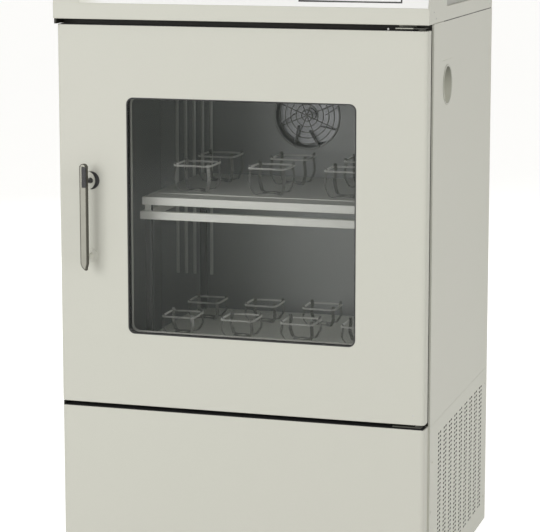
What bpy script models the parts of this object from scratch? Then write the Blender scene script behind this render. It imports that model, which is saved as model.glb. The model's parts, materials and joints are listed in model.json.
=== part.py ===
# Floor-standing shaking incubator: an insulated chamber with a windowed door, an orbital
# shaker with two flask decks, a control head on top and the refrigeration below.
# Metres, +Z up, the door faces -Y. The origin is on the floor, under the middle of the machine.

import math

import bmesh
import bpy
from mathutils import Vector

# Clearances
GAP = 0.0003
RUN = 0.0005

# Flats round a turned piece
ROUND = 16
WHEEL_ROUND = 16

# Cabinet
WIDTH = 0.930
CASING_DEPTH = 0.690
SHEET = 0.002
CUT_PAST = 0.010
INSULATION = 0.050
LINER = 0.0015
JAMB = 0.004

# Heights, from the floor up
CASTER_HEIGHT = 0.078
BASE_HEIGHT = 0.020
LOWER_HEIGHT = 0.400
SILL_GAP = 0.013
DOOR_HEIGHT = 0.932
HEAD_GAP = 0.0145
HEAD_HEIGHT = 0.170

# Door
DOOR_THICKNESS = 0.034
DOOR_GAP = 0.008
DOOR_INSET = 0.005
DOOR_RADIUS = 0.010
WINDOW_WIDTH = 0.573
WINDOW_HEIGHT = 0.580
WINDOW_SHIFT = 0.0035
WINDOW_DROP = 0.173
WINDOW_RADIUS = 0.017
GLASS = 0.004
GLASS_LAP = 0.012
PANE_SPACING = 0.0195
SEAL_WALL = 0.004
SEAL_LIP = 0.0035
GASKET_INSET = 0.027
GASKET_WIDTH = 0.014

# Door hinges
PIVOT_FROM_EDGE = 0.018
PIVOT_FROM_BACK = 0.024
HINGE_PIN = 0.004
HINGE_COLLAR = 0.008
HINGE_PIN_DEPTH = 0.016
HINGE_PLATE = 0.003
HINGE_PLATE_LEFT = 0.060
HINGE_PLATE_RIGHT = 0.010
HINGE_PLATE_LIFT = 0.0045

# Door handle
HANDLE_INSET = 0.084
HANDLE_WIDTH = 0.019
HANDLE_DEPTH = 0.014
HANDLE_STANDOFF = 0.033
HANDLE_DROP = 0.333
HANDLE_LENGTH = 0.256
HANDLE_TIP = 0.018
UPPER_POST_DROP = 0.378
LOWER_POST_DROP = 0.563
POST_RADIUS = 0.006
LOWER_ROSETTE = 0.016
UPPER_ROSETTE = 0.022
STEM_RADIUS = 0.0045
ROSETTE_HEIGHT = 0.003
BUTTON_WIDTH = 0.011
BUTTON_LENGTH = 0.050
BUTTON_DEPTH = 0.006
BUTTON_PROUD = 0.0015
BUTTON_DROP = 0.340

# Head and control panel
HEAD_PROUD = 0.012
HEAD_LIP = 0.038
HEAD_SETBACK = 0.045
HEAD_RADIUS = 0.006
POCKET_DEPTH = 0.006
POCKET_FRONT = 0.175
POCKET_LENGTH = 0.320
POCKET_LIFT = 0.034
POCKET_HEIGHT = 0.060
PANEL_THICKNESS = 0.002
PANEL_FROM_LEFT = 0.070
PANEL_FROM_RIGHT = 0.010
PANEL_BORDER = 0.004
DISPLAY_FROM_RIGHT = 0.315
DISPLAY_WIDTH = 0.150
DISPLAY_HEIGHT = 0.072
DISPLAY_LIFT = 0.021
DISPLAY_THICKNESS = 0.008
KEY_SIZE = 0.026
KEY_FROM_RIGHT = 0.140
KEY_PITCH = 0.040
KEY_PROUD = 0.0015
KEY_DEPTH = 0.007
BOARD_WIDTH = 0.240
BOARD_DEPTH = 0.140
BOARD_LIFT = 0.014
BOARD_PILLAR = 0.010
BOARD_PILLAR_X = 0.100
BOARD_PILLAR_Y = 0.055
BOARD_PARTS = (
    (-0.06, 0.00, 0.05, 0.022),
    (0.02, 0.02, 0.03, 0.006),
    (0.07, -0.03, 0.02, 0.015),
)

# Side grips
GRIP_RADIUS = 0.046
GRIP_DEPTH = 0.026
GRIP_WALL = 0.002
GRIP_FLANGE = 0.0015
GRIP_RIM = 0.049
GRIP_BACK = 0.190
GRIP_DROP = 0.139

# Lower compartment
PANEL_FOLD = 0.018
FRONT_PANEL_GAP = 0.0115
FRONT_PANEL_RADIUS = 0.012
VENT_COLUMNS = 9
VENT_ROWS = 7
VENT_PITCH = 0.0624
VENT_WIDTH = 0.030
VENT_SLOT = 0.008
VENT_TOP = 0.039
VENT_BOTTOM = 0.023
VENT_FRONT = 0.149
REAR_INSET = 0.010
REAR_SLOTS = 9
REAR_SLOT_LENGTH = 0.260
REAR_SLOT_PITCH = 0.024
REAR_SLOT_HEIGHT = 0.010
POST_SIZE = 0.025
RING_WIDTH = 0.040
FLOOR_PAN = 0.003

# Shaker drive, from the chamber floor up
ORBIT = 0.013
DRIVE_BACK = 0.330
DRIVE_PLATE = 0.008
DRIVE_PLATE_WIDTH = 0.500
DRIVE_PLATE_DEPTH = 0.380
BOSS_RADIUS = 0.024
BOSS_HEIGHT = 0.022
TUBE_RADIUS = 0.030
TUBE_DROP = 0.016
MAIN_SHAFT = 0.0125
SUPPORT_SHAFT = 0.008
CRANK_DISC = 0.008
MAIN_DISC_RADIUS = 0.030
SUPPORT_DISC_RADIUS = 0.026
COUNTERWEIGHT_RADIUS = 0.085
PIN_RADIUS = 0.006
PIN_LENGTH = 0.018
SUPPORT_X = 0.200
SUPPORT_FRONT = -0.130
SUPPORT_REAR = 0.150
PULLEY_RADIUS = 0.090
MOTOR_PULLEY_RADIUS = 0.0225
PULLEY_FLANGE = 0.005
PULLEY_HEIGHT = 0.018
PULLEY_RIM = 0.003
BELT_THICKNESS = 0.004
MOTOR_X = -0.255
MOTOR_RADIUS = 0.048
MOTOR_HEIGHT = 0.095
MOTOR_FLANGE = 0.004
MOTOR_SHAFT = 0.007

# Shaking platform
FRAME_LIFT = 0.003
FRAME_INSET = 0.030
FRAME_TUBE = 0.030
FRAME_HEIGHT = 0.052
FRAME_BEAM = 0.044
DECK_WIDTH = 0.600
DECK_DEPTH = 0.460
FRAME_WIDTH = DECK_WIDTH - 2 * FRAME_INSET
FRAME_DEPTH = DECK_DEPTH - 2 * FRAME_INSET
DECK_SHEET = 0.003
DECK_LIP = 0.020
DECK_SPACING = 0.365
RACK_POST = 0.016
RACK_RAIL = 0.020
RACK_INSET = 0.006
RACK_GAP = 0.016
TRAY_SHEET = 0.0015
TRAY_MARGIN = 0.025
CLAMP_STRIP = 0.010
CLAMP_METAL = 0.0026
CLAMP_WIRE = 0.0011
CLAMP_FINGERS = 3
LOWER_CLAMPS = {
    "columns": 4, "rows": 2,
    "pitch_x": 0.156, "pitch_y": 0.200,
    "radius": 0.049, "height": 0.066,
}
UPPER_CLAMPS = {
    "columns": 3, "rows": 2,
    "pitch_x": 0.195, "pitch_y": 0.190,
    "radius": 0.068, "height": 0.080,
}

# Air circulation behind the chamber's rear baffle
BAFFLE = 0.0015
PLENUM = 0.075
FAN_HEIGHT = 0.620
FAN_RADIUS = 0.085
FAN_DEPTH = 0.026
FAN_BLADES = 8
FAN_SHAFT = 0.004
FAN_SHAFT_REACH = 0.012
FAN_HUB = 0.016
FAN_DISC = 0.002
FAN_MOTOR_RADIUS = 0.038
FAN_MOTOR_DEPTH = 0.036
HEATER_RADIUS = 0.108
HEATER_TUBE = 0.004
EVAPORATOR_WIDTH = 0.420
EVAPORATOR_HEIGHT = 0.180
EVAPORATOR_DEPTH = 0.045
EVAPORATOR_LIFT = 0.070
EVAPORATOR_FINS = 14
BAFFLE_SLOTS = 5
BAFFLE_SLOT_WIDTH = 0.012
BAFFLE_SLOT_PITCH = 0.024
BAFFLE_SLOT_HEIGHT = 0.520
INTAKE_SLOTS = 7
INTAKE_PITCH = 0.022

# Refrigeration
COMPRESSOR_INSET = 0.165
COMPRESSOR_BACK = 0.560
COMPRESSOR_RADIUS = 0.075
COMPRESSOR_HEIGHT = 0.185
CONDENSER_INSET = 0.265
CONDENSER_WIDTH = 0.260
CONDENSER_HEIGHT = 0.250
CONDENSER_DEPTH = 0.040
CONDENSER_FINS = 13
SHROUD_DEPTH = 0.034
CONDENSER_FAN_RADIUS = 0.100
CONDENSER_FAN_BLADES = 5
CONDENSER_FAN_DEPTH = 0.018
CONDENSER_REAR_GAP = 0.030
CONDENSER_FAN_HUB = 0.022
FAN_TIP_GAP = 0.006
STRUT = 0.012
STRUT_METAL = 0.004

# Mains inlet
INLET_INSET = 0.135
INLET_LIFT = 0.300
INLET_WIDTH = 0.030
INLET_HEIGHT = 0.060
INLET_DEPTH = 0.026
INLET_RIM = 0.005
SOCKET_HALF = 0.012
SOCKET_DEPTH = 0.018
CONTACT_PITCH = 0.007
ROCKER_RADIUS = 0.0085
ROCKER_WIDTH = 0.014

# Casters
WHEEL_RADIUS = 0.030
WHEEL_WIDTH = 0.022
CASTER_TRAIL = 0.024
CASTER_INSET = 0.065
CASTER_FRONT = 0.062
CASTER_REAR = 0.062
FORK_METAL = 0.003
AXLE_RADIUS = 0.004
CROWN_RADIUS = 0.024
CROWN_HEIGHT = 0.006

# Levels and planes that follow from the sizes
BASE_Z = CASTER_HEIGHT
LOWER_Z = BASE_Z + BASE_HEIGHT
CASING_Z = LOWER_Z + LOWER_HEIGHT
DOOR_Z = CASING_Z + SILL_GAP
DOOR_TOP = DOOR_Z + DOOR_HEIGHT
HEAD_Z = DOOR_TOP + HEAD_GAP
HEAD_TOP = HEAD_Z + HEAD_HEIGHT
HANDLE_REACH = HANDLE_STANDOFF + HANDLE_DEPTH + BUTTON_PROUD
OVERALL_DEPTH = HANDLE_REACH + DOOR_THICKNESS + DOOR_GAP + CASING_DEPTH
DOOR_FRONT = HANDLE_REACH - OVERALL_DEPTH / 2
DOOR_BACK = DOOR_FRONT + DOOR_THICKNESS
CASING_FRONT = DOOR_BACK + DOOR_GAP
CASING_BACK = CASING_FRONT + CASING_DEPTH
HALF = WIDTH / 2
DOOR_HALF = HALF - DOOR_INSET
PANEL_LEFT = PANEL_FROM_LEFT - HALF
PANEL_RIGHT = HALF - PANEL_FROM_RIGHT
DISPLAY_LEFT = HALF - DISPLAY_FROM_RIGHT
KEY_LEFT = HALF - KEY_FROM_RIGHT
HANDLE_X = HANDLE_INSET - DOOR_HALF
COMPRESSOR_X = COMPRESSOR_INSET - HALF
CONDENSER_X = HALF - CONDENSER_INSET
INLET_X = INLET_INSET - HALF
CASTER_X = HALF - CASTER_INSET
DRIVE_Y = DOOR_FRONT + DRIVE_BACK


# Nested spaces of the cabinet, each a low and a high corner
def inset(space, by, front):
    (x0, y0, z0), (x1, y1, z1) = space
    return (x0 + by, front, z0 + by), (x1 - by, y1 - by, z1 - by)


OPEN_FRONT = CASING_FRONT - CUT_PAST
FOAM_FRONT = CASING_FRONT + JAMB + GAP
CASING = ((-HALF, CASING_FRONT, CASING_Z + GAP), (HALF, CASING_BACK, HEAD_Z - GAP))
CASING_HOLLOW = inset(CASING, SHEET, OPEN_FRONT)
FOAM = inset(CASING_HOLLOW, GAP, FOAM_FRONT)
FOAM_HOLLOW = inset(FOAM, INSULATION, OPEN_FRONT)
LINER_SHELL = inset(FOAM_HOLLOW, GAP, FOAM_FRONT)
CHAMBER = inset(LINER_SHELL, LINER, OPEN_FRONT)
CHAMBER_FLOOR = CHAMBER[0][2]
CHAMBER_BACK = CHAMBER[1][1]

# Levels of the shaker
PLATE_Z = CHAMBER_FLOOR + GAP
BOSS_TOP = PLATE_Z + DRIVE_PLATE + BOSS_HEIGHT
DISC_Z = BOSS_TOP + RUN
FRAME_Z = DISC_Z + CRANK_DISC + FRAME_LIFT
LOWER_DECK_Z = FRAME_Z + FRAME_HEIGHT + GAP
UPPER_DECK_Z = LOWER_DECK_Z + DECK_SPACING
TUBE_Z = CASING_Z - TUBE_DROP
PULLEY_Z = TUBE_Z - RUN - PULLEY_HEIGHT
PLATFORM_X = ORBIT
BAFFLE_Y = CHAMBER_BACK - PLENUM - BAFFLE

scene = bpy.context.scene
for old in list(bpy.data.objects):
    bpy.data.objects.remove(old)


# Materials
def paint(name, colour, roughness, metallic=0.0, alpha=1.0):
    made = bpy.data.materials.new(name)
    made.use_nodes = True
    shader = made.node_tree.nodes["Principled BSDF"]
    shader.inputs["Base Color"].default_value = (*colour, 1.0)
    shader.inputs["Roughness"].default_value = roughness
    shader.inputs["Metallic"].default_value = metallic
    shader.inputs["Alpha"].default_value = alpha
    made.diffuse_color = (*colour, 1.0)
    return made


CREAM = (0.62, 0.62, 0.55)
GREY_STEEL = (0.55, 0.56, 0.56)


# Building blocks in a bmesh, in world coordinates
def add_box(bm, low, high):
    made = bmesh.ops.create_cube(bm, size=1.0)["verts"]
    size = Vector(high) - Vector(low)
    middle = (Vector(high) + Vector(low)) / 2
    for vert in made:
        vert.co = Vector([vert.co[i] * size[i] + middle[i] for i in range(3)])


def on_axis(axis, across, along):
    """A point from its two coordinates across an axis and its height along it."""
    a, b = across
    return {"X": (along, a, b), "Y": (a, along, b), "Z": (a, b, along)}[axis]


def add_prism(bm, outline, axis, start, end):
    faces = []
    for along in (start, end):
        faces.append(bm.faces.new([bm.verts.new(on_axis(axis, p, along)) for p in outline]))
    near, far = faces[0].verts[:], faces[1].verts[:]
    for i, vert in enumerate(near):
        j = (i + 1) % len(near)
        bm.faces.new([vert, near[j], far[j], far[i]])


def add_lathe(bm, profile, axis, centre, segments):
    """A turned body from (radius, height) pairs; a radius of 0 closes it on its axis."""
    rings = []
    for radius, height in profile:
        if radius == 0:
            rings.append([bm.verts.new(on_axis(axis, centre, height))])
            continue
        ring = []
        for i in range(segments):
            turn = 2 * math.pi * (i + 0.5) / segments
            across = (centre[0] + radius * math.cos(turn), centre[1] + radius * math.sin(turn))
            ring.append(bm.verts.new(on_axis(axis, across, height)))
        rings.append(ring)
    if profile[0][0] != 0:
        rings.append(rings[0])
    for low, high in zip(rings, rings[1:]):
        for i in range(segments):
            j = (i + 1) % segments
            corners = [low[i % len(low)], low[j % len(low)], high[j % len(high)], high[i % len(high)]]
            bm.faces.new(list(dict.fromkeys(corners)))


def add_cylinder(bm, radius, axis, centre, start, end, segments=ROUND):
    add_lathe(bm, [(0, start), (radius, start), (radius, end), (0, end)], axis, centre, segments)


def add_wire_ring(bm, centre, radius, wire, segments, sides):
    profile = []
    for i in range(sides):
        turn = 2 * math.pi * i / sides + math.pi / sides
        profile.append((radius + wire * math.cos(turn), centre[2] + wire * math.sin(turn)))
    add_lathe(bm, profile, "Z", centre[:2], segments)


def arc(centre, radius, start, end, steps):
    """Points on an arc, angles in degrees."""
    turns = [math.radians(start + (end - start) * i / steps) for i in range(steps + 1)]
    return [(centre[0] + radius * math.cos(t), centre[1] + radius * math.sin(t)) for t in turns]


def rounded(x0, x1, y0, y1, radius, steps=3):
    corners = (
        ((x1 - radius, y1 - radius), 0),
        ((x0 + radius, y1 - radius), 90),
        ((x0 + radius, y0 + radius), 180),
        ((x1 - radius, y0 + radius), 270),
    )
    outline = []
    for centre, start in corners:
        outline += arc(centre, radius, start, start + 90, steps)
    return outline


def front_rounded(half, front, back, radius, steps=3):
    """A plan outline with only its two front corners rounded."""
    left = arc((-half + radius, front + radius), radius, 180, 270, steps)
    right = arc((half - radius, front + radius), radius, 270, 360, steps)
    return left + right + [(half, back), (-half, back)]


def bore(radius, clearance, segments=ROUND):
    """The corner radius of a faceted hole whose flats still clear a round of this radius."""
    return (radius + clearance) / math.cos(math.pi / segments)


# Objects, cutters and joints
def make(name, bm, material=None, origin=None):
    bm.normal_update()
    bmesh.ops.recalc_face_normals(bm, faces=bm.faces[:])
    if origin is None:
        corners = [v.co for v in bm.verts]
        origin = [(min(c[i] for c in corners) + max(c[i] for c in corners)) / 2 for i in range(3)]
    bmesh.ops.translate(bm, verts=bm.verts[:], vec=-Vector(origin))
    mesh = bpy.data.meshes.new(name)
    bm.to_mesh(mesh)
    bm.free()
    mesh.shade_smooth()
    mesh.set_sharp_from_angle(angle=math.radians(35))
    made = bpy.data.objects.new(name, mesh)
    made.location = origin
    scene.collection.objects.link(made)
    if material:
        mesh.materials.append(material)
    return made


def combine(piece, bm, operation, solver):
    """Cuts a tool from a piece, or joins it on. The tool rides on the piece and isn't rendered."""
    helper = make(f"{piece.name}.{operation.lower()}{len(piece.modifiers)}", bm, origin=(0, 0, 0))
    helper.location = -Vector(piece.location)
    helper.parent = piece
    helper.hide_render = True
    helper.display_type = "WIRE"
    boolean = piece.modifiers.new(operation.title(), "BOOLEAN")
    boolean.operation = operation
    boolean.solver = solver
    boolean.object = helper


def cut(piece, bm, solver="EXACT"):
    combine(piece, bm, "DIFFERENCE", solver)


def join(piece, bm, solver="EXACT"):
    combine(piece, bm, "UNION", solver)


def tool(add, *arguments, **options):
    """A new bmesh that holds one building block."""
    bm = bmesh.new()
    add(bm, *arguments, **options)
    return bm


def block(name, low, high, material):
    return make(name, tool(add_box, low, high), material)


def world_place(piece):
    place = Vector(piece.location)
    while piece.parent:
        piece = piece.parent
        place += piece.location
    return place


def joint_axis(name, place, carrier=None):
    empty = bpy.data.objects.new(name, None)
    empty.location = place
    empty.empty_display_size = 0.05
    scene.collection.objects.link(empty)
    if carrier:
        carry(carrier, empty)
    return empty


def carry(carrier, *pieces):
    for piece in pieces:
        piece.location = Vector(piece.location) - world_place(carrier)
        piece.parent = carrier


# Base, casters and the panels of the lower compartment
def build_base():
    steel = paint("base_steel", (0.20, 0.20, 0.20), 0.5, 0.6)
    ring = ((-HALF, DOOR_FRONT, BASE_Z), (HALF, CASING_BACK, LOWER_Z - GAP))
    base = block("base_frame", *ring, steel)
    pan_top = BASE_Z + FLOOR_PAN
    low = (-HALF + RING_WIDTH, DOOR_FRONT + RING_WIDTH, pan_top)
    high = (HALF - RING_WIDTH, CASING_BACK - RING_WIDTH, LOWER_Z + CUT_PAST)
    cut(base, tool(add_box, low, high))
    posts = bmesh.new()
    wall = SHEET + 2 * GAP
    front = CASING_FRONT + wall
    back = CASING_BACK - REAR_INSET - wall - POST_SIZE
    for x in (-HALF + wall, HALF - wall - POST_SIZE):
        for y in (front, back):
            add_box(posts, (x, y, BASE_Z + BASE_HEIGHT / 2), (x + POST_SIZE, y + POST_SIZE, CASING_Z))
    join(base, posts)


def build_casters():
    fork_steel = paint("zinc_plate", (0.60, 0.61, 0.62), 0.35, 0.9)
    tread = paint("wheel_rubber", (0.05, 0.05, 0.05), 0.7)
    rows = {"front": DOOR_FRONT + CASTER_FRONT, "rear": CASING_BACK - CASTER_REAR}
    leg_inside = WHEEL_WIDTH / 2 + RUN
    for row, y in rows.items():
        for side, x in (("left", -CASTER_X), ("right", CASTER_X)):
            top = CASTER_HEIGHT - GAP
            axle = (y + CASTER_TRAIL, WHEEL_RADIUS * math.cos(math.pi / WHEEL_ROUND))
            body = tool(add_cylinder, CROWN_RADIUS, "Z", (x, y), top - CROWN_HEIGHT, top)
            fork = make(f"caster_fork_{row}_{side}", body, fork_steel, origin=(x, y, top))
            legs = bmesh.new()
            leg_outside = leg_inside + FORK_METAL
            for start, end in ((leg_inside, leg_outside), (-leg_outside, -leg_inside)):
                outline = [(y - CROWN_RADIUS / 2, top - CROWN_HEIGHT / 2)]
                outline += arc(axle, AXLE_RADIUS * 2, 200, 340, 2)
                outline.append((y + CROWN_RADIUS * 0.8, top - CROWN_HEIGHT / 2))
                add_prism(legs, outline, "X", x + start, x + end)
            join(fork, legs)
            reach = leg_inside + FORK_METAL + 0.002
            join(fork, tool(add_cylinder, AXLE_RADIUS, "X", axle, x - reach, x + reach, segments=8))
            swivel = joint_axis(f"swivel_{row}_{side}", (x, y, top))
            hole = bore(AXLE_RADIUS, GAP)
            edge = WHEEL_WIDTH / 2
            profile = [
                (hole, x - edge),
                (WHEEL_RADIUS - 0.003, x - edge),
                (WHEEL_RADIUS, x - edge + 0.003),
                (WHEEL_RADIUS, x + edge - 0.003),
                (WHEEL_RADIUS - 0.003, x + edge),
                (hole, x + edge),
            ]
            name = f"caster_wheel_{row}_{side}"
            wheel = make(name, tool(add_lathe, profile, "X", axle, WHEEL_ROUND), tread, origin=(x, *axle))
            turning = joint_axis(f"axle_{row}_{side}", (x, *axle), swivel)
            carry(turning, wheel)
            carry(swivel, fork)


def folded_panel(name, x, material):
    """A side panel with its front and back edges folded inward; x is its outer face."""
    inward = -1 if x > 0 else 1
    front = CASING_FRONT
    back = CASING_BACK - REAR_INSET + SHEET
    inner = x + inward * SHEET
    fold = x + inward * PANEL_FOLD
    outline = [
        (x, front), (fold, front), (fold, front + SHEET), (inner, front + SHEET),
        (inner, back - SHEET), (inner, CASING_BACK), (x, CASING_BACK),
    ]
    panel = make(name, tool(add_prism, outline, "Z", LOWER_Z, CASING_Z), material)
    slots = bmesh.new()
    top = CASING_Z - VENT_TOP
    pitch = (LOWER_HEIGHT - VENT_TOP - VENT_BOTTOM - VENT_SLOT) / (VENT_ROWS - 1)
    outside, inside = sorted((x - inward * SHEET, x + inward * SHEET * 2))
    for column in range(VENT_COLUMNS):
        y = DOOR_FRONT + VENT_FRONT + column * VENT_PITCH
        for row in range(VENT_ROWS):
            z = top - row * pitch
            low = (outside, y - VENT_WIDTH / 2, z - VENT_SLOT)
            add_box(slots, low, (inside, y + VENT_WIDTH / 2, z))
    cut(panel, slots)
    return panel


def build_lower_panels():
    cream = paint("cream_paint_lower", CREAM, 0.4)
    folded_panel("vent_panel_right", HALF, cream)
    folded_panel("vent_panel_left", -HALF, cream)
    top = DOOR_Z - FRONT_PANEL_GAP
    back = CASING_FRONT - GAP
    plan = front_rounded(DOOR_HALF, DOOR_FRONT, back, FRONT_PANEL_RADIUS)
    front = make("lower_front_panel", tool(add_prism, plan, "Z", LOWER_Z, top), cream)
    radius = FRONT_PANEL_RADIUS - SHEET
    hollow = front_rounded(DOOR_HALF - SHEET, DOOR_FRONT + SHEET, back + SHEET, radius)
    cut(front, tool(add_prism, hollow, "Z", LOWER_Z + SHEET, top - SHEET))
    outer = CASING_BACK - REAR_INSET
    reach = HALF - SHEET - GAP
    rear = block("lower_rear_panel", (-reach, outer - SHEET, LOWER_Z), (reach, outer, CASING_Z), cream)
    slots = bmesh.new()
    left = CONDENSER_X - REAR_SLOT_LENGTH / 2
    for i in range(REAR_SLOTS):
        z = LOWER_Z + 0.040 + i * REAR_SLOT_PITCH
        low = (left, outer - 2 * SHEET, z)
        add_box(slots, low, (left + REAR_SLOT_LENGTH, outer + SHEET, z + REAR_SLOT_HEIGHT))
    z = LOWER_Z + INLET_LIFT
    half = INLET_WIDTH / 2 + GAP
    low = (INLET_X - half, outer - 2 * SHEET, z - GAP)
    add_box(slots, low, (INLET_X + half, outer + SHEET, z + INLET_HEIGHT + GAP))
    cut(rear, slots)


# Insulated cabinet
def build_cabinet():
    cream = paint("cream_paint_casing", CREAM, 0.4)
    casing = block("outer_casing", *CASING, cream)
    cut(casing, tool(add_box, *CASING_HOLLOW))
    foam = block("insulation", *FOAM, paint("foam", (0.75, 0.65, 0.40), 0.9))
    cut(foam, tool(add_box, *FOAM_HOLLOW))
    liner = block("chamber_liner", *LINER_SHELL, paint("stainless_liner", GREY_STEEL, 0.3, 0.9))
    cut(liner, tool(add_box, *CHAMBER))
    for shell in (casing, foam, liner):
        passage = tool(add_cylinder, bore(TUBE_RADIUS, GAP), "Z", (0, DRIVE_Y), TUBE_Z, PLATE_Z)
        cut(shell, passage)
    z = DOOR_TOP - GRIP_DROP
    y = DOOR_FRONT + GRIP_BACK
    sides = ((HALF, 1), (-HALF, -1))
    for x, out in sides:
        start, end = sorted((x + out * CUT_PAST, x - out * SHEET * 1.5))
        cut(casing, tool(add_cylinder, bore(GRIP_RADIUS, GAP), "X", (y, z), start, end))
        start, end = sorted((x, x - out * (GRIP_DEPTH + GAP)))
        cut(foam, tool(add_cylinder, bore(GRIP_RADIUS, GAP), "X", (y, z), start, end))
    (x0, y0, z0), (x1, y1, z1) = CASING_HOLLOW
    low = (x0 + GAP, CASING_FRONT, z0 + GAP)
    high = (x1 - GAP, CASING_FRONT + JAMB, z1 - GAP)
    jamb = block("door_frame", low, high, paint("jamb_plastic", (0.70, 0.70, 0.66), 0.45))
    low, high = CHAMBER
    cut(jamb, tool(add_box, low, (high[0], CASING_FRONT + 0.050, high[2])))


def build_grips():
    plastic = paint("grip_plastic", (0.50, 0.50, 0.46), 0.45)
    z = DOOR_TOP - GRIP_DROP
    y = DOOR_FRONT + GRIP_BACK
    for side, out in (("right", 1), ("left", -1)):
        face = out * (HALF + GAP)
        floor = out * (HALF - GRIP_DEPTH)
        rim = face + out * GRIP_FLANGE
        profile = [
            (0, floor),
            (GRIP_RADIUS - 0.006, floor),
            (GRIP_RADIUS, floor + out * 0.006),
            (GRIP_RADIUS, face),
            (GRIP_RIM, face),
            (GRIP_RIM, rim),
            (GRIP_RADIUS - GRIP_WALL, rim),
            (GRIP_RADIUS - GRIP_WALL, floor + out * 0.008),
            (GRIP_RADIUS - 0.008, floor + out * GRIP_WALL),
            (0, floor + out * GRIP_WALL),
        ]
        make(f"side_grip_{side}", tool(add_lathe, profile, "X", (y, z), ROUND), plastic)


# Control head
def build_head():
    cream = paint("cream_paint_head", CREAM, 0.4)
    front = DOOR_FRONT - HEAD_PROUD
    tilt = math.atan2(HEAD_SETBACK, HEAD_HEIGHT - HEAD_LIP)

    def section(wall, bottom):
        """The side outline, moved inward by the wall; the bottom stays where it is told."""
        shoulder = wall * math.tan((math.pi / 2 - tilt) / 2)
        bend = wall * math.tan(tilt / 2)
        return [
            (front + wall, bottom),
            (front + wall, HEAD_Z + HEAD_LIP - bend),
            (front + HEAD_SETBACK + shoulder, HEAD_TOP - wall),
            (CASING_BACK - wall, HEAD_TOP - wall),
            (CASING_BACK - wall, bottom),
        ]

    body = tool(add_prism, section(0, HEAD_Z), "X", -HALF, HALF)
    upper = [e for e in body.edges if all(v.co.z > HEAD_Z + HEAD_LIP / 2 for v in e.verts)]
    bmesh.ops.bevel(body, geom=upper, offset=HEAD_RADIUS / 2, segments=1, affect="EDGES")
    head = make("head_shell", body, cream)
    hollow = section(SHEET, HEAD_Z - CUT_PAST)
    cut(head, tool(add_prism, hollow, "X", -HALF + SHEET, HALF - SHEET))
    back = DOOR_FRONT + POCKET_FRONT + POCKET_LENGTH
    bottom = HEAD_Z + POCKET_LIFT
    for out in (1, -1):
        outer = bmesh.new()
        start, end = sorted((out * (HALF - SHEET / 2), out * (HALF - POCKET_DEPTH - SHEET)))
        low = (start, DOOR_FRONT + POCKET_FRONT - SHEET, bottom - SHEET)
        add_box(outer, low, (end, back + SHEET, bottom + POCKET_HEIGHT + SHEET))
        join(head, outer)
    recess = bmesh.new()
    for out in (1, -1):
        start, end = sorted((out * (HALF + SHEET), out * (HALF - POCKET_DEPTH)))
        low = (start, DOOR_FRONT + POCKET_FRONT, bottom)
        add_box(recess, low, (end, back, bottom + POCKET_HEIGHT))
    cut(head, recess)
    slope = joint_axis("control_face", (0, front, HEAD_Z + HEAD_LIP))
    slope.rotation_euler = (-tilt, 0, 0)
    build_controls(head, slope, tilt)
    board_bottom = HEAD_Z + BOARD_LIFT
    middle = (CASING_FRONT + CASING_BACK) / 2
    low = (-BOARD_WIDTH / 2, middle - BOARD_DEPTH / 2, board_bottom)
    high = (BOARD_WIDTH / 2, middle + BOARD_DEPTH / 2, board_bottom + SHEET)
    board = block("controller_board", low, high, paint("circuit_board", (0.02, 0.16, 0.08), 0.5))
    parts = bmesh.new()
    half = BOARD_PILLAR / 2
    for x in (-BOARD_PILLAR_X, BOARD_PILLAR_X):
        for y in (middle - BOARD_PILLAR_Y, middle + BOARD_PILLAR_Y):
            add_box(parts, (x - half, y - half, HEAD_Z), (x + half, y + half, high[2] - GAP))
    join(board, parts)
    parts = bmesh.new()
    for x, y, width, height in BOARD_PARTS:
        low = (x - width / 2, middle + y - width / 2, board_bottom + SHEET / 2)
        add_box(parts, low, (x + width / 2, middle + y + width / 2, high[2] + height))
    join(board, parts)


def slope_box(slope, tilt, low, high):
    """A box given on the sloped control face: x, depth outward, height up the slope."""
    up = Vector((0, math.sin(tilt), math.cos(tilt)))
    out = Vector((0, -math.cos(tilt), math.sin(tilt)))
    start = Vector(slope.location)
    bm = tool(add_box, low, high)
    for vert in bm.verts:
        x, depth, height = vert.co
        vert.co = start + Vector((x, 0, 0)) + out * depth + up * height
    return bm


def build_controls(head, slope, tilt):
    length = math.hypot(HEAD_SETBACK, HEAD_HEIGHT - HEAD_LIP)
    key_bottom = DISPLAY_LIFT + DISPLAY_HEIGHT / 2 - KEY_SIZE / 2
    windows = [("display_screen", DISPLAY_LEFT, DISPLAY_WIDTH, DISPLAY_LIFT, DISPLAY_HEIGHT)]
    for i, name in enumerate(("key_set", "key_run")):
        windows.append((name, KEY_LEFT + i * KEY_PITCH, KEY_SIZE, key_bottom, KEY_SIZE))
    low = (PANEL_LEFT, GAP, PANEL_BORDER)
    high = (PANEL_RIGHT, GAP + PANEL_THICKNESS, length - PANEL_BORDER - HEAD_RADIUS)
    film = paint("panel_film", (0.9, 0.9, 0.9), 0.3)
    panel = make("control_panel", slope_box(slope, tilt, low, high), film)
    screen_glass = paint("display_glass", (0.05, 0.06, 0.07), 0.15)
    key_rubber = paint("key_rubber", (0.55, 0.57, 0.60), 0.5)
    face = GAP + PANEL_THICKNESS
    for name, left, width, bottom, height in windows:
        low = (left - GAP, -DISPLAY_THICKNESS, bottom - GAP)
        high = (left + width + GAP, face + CUT_PAST, bottom + height + GAP)
        for piece in (head, panel):
            cut(piece, slope_box(slope, tilt, low, high))
        is_key = name.startswith("key")
        proud = KEY_PROUD if is_key else 0
        depth = KEY_DEPTH if is_key else DISPLAY_THICKNESS
        low = (left, face + proud - depth, bottom)
        high = (left + width, face + proud, bottom + height)
        made = make(name, slope_box(slope, tilt, low, high), key_rubber if is_key else screen_glass)
        if is_key:
            carry(joint_axis(f"{name}_slide", made.location), made)


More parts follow.
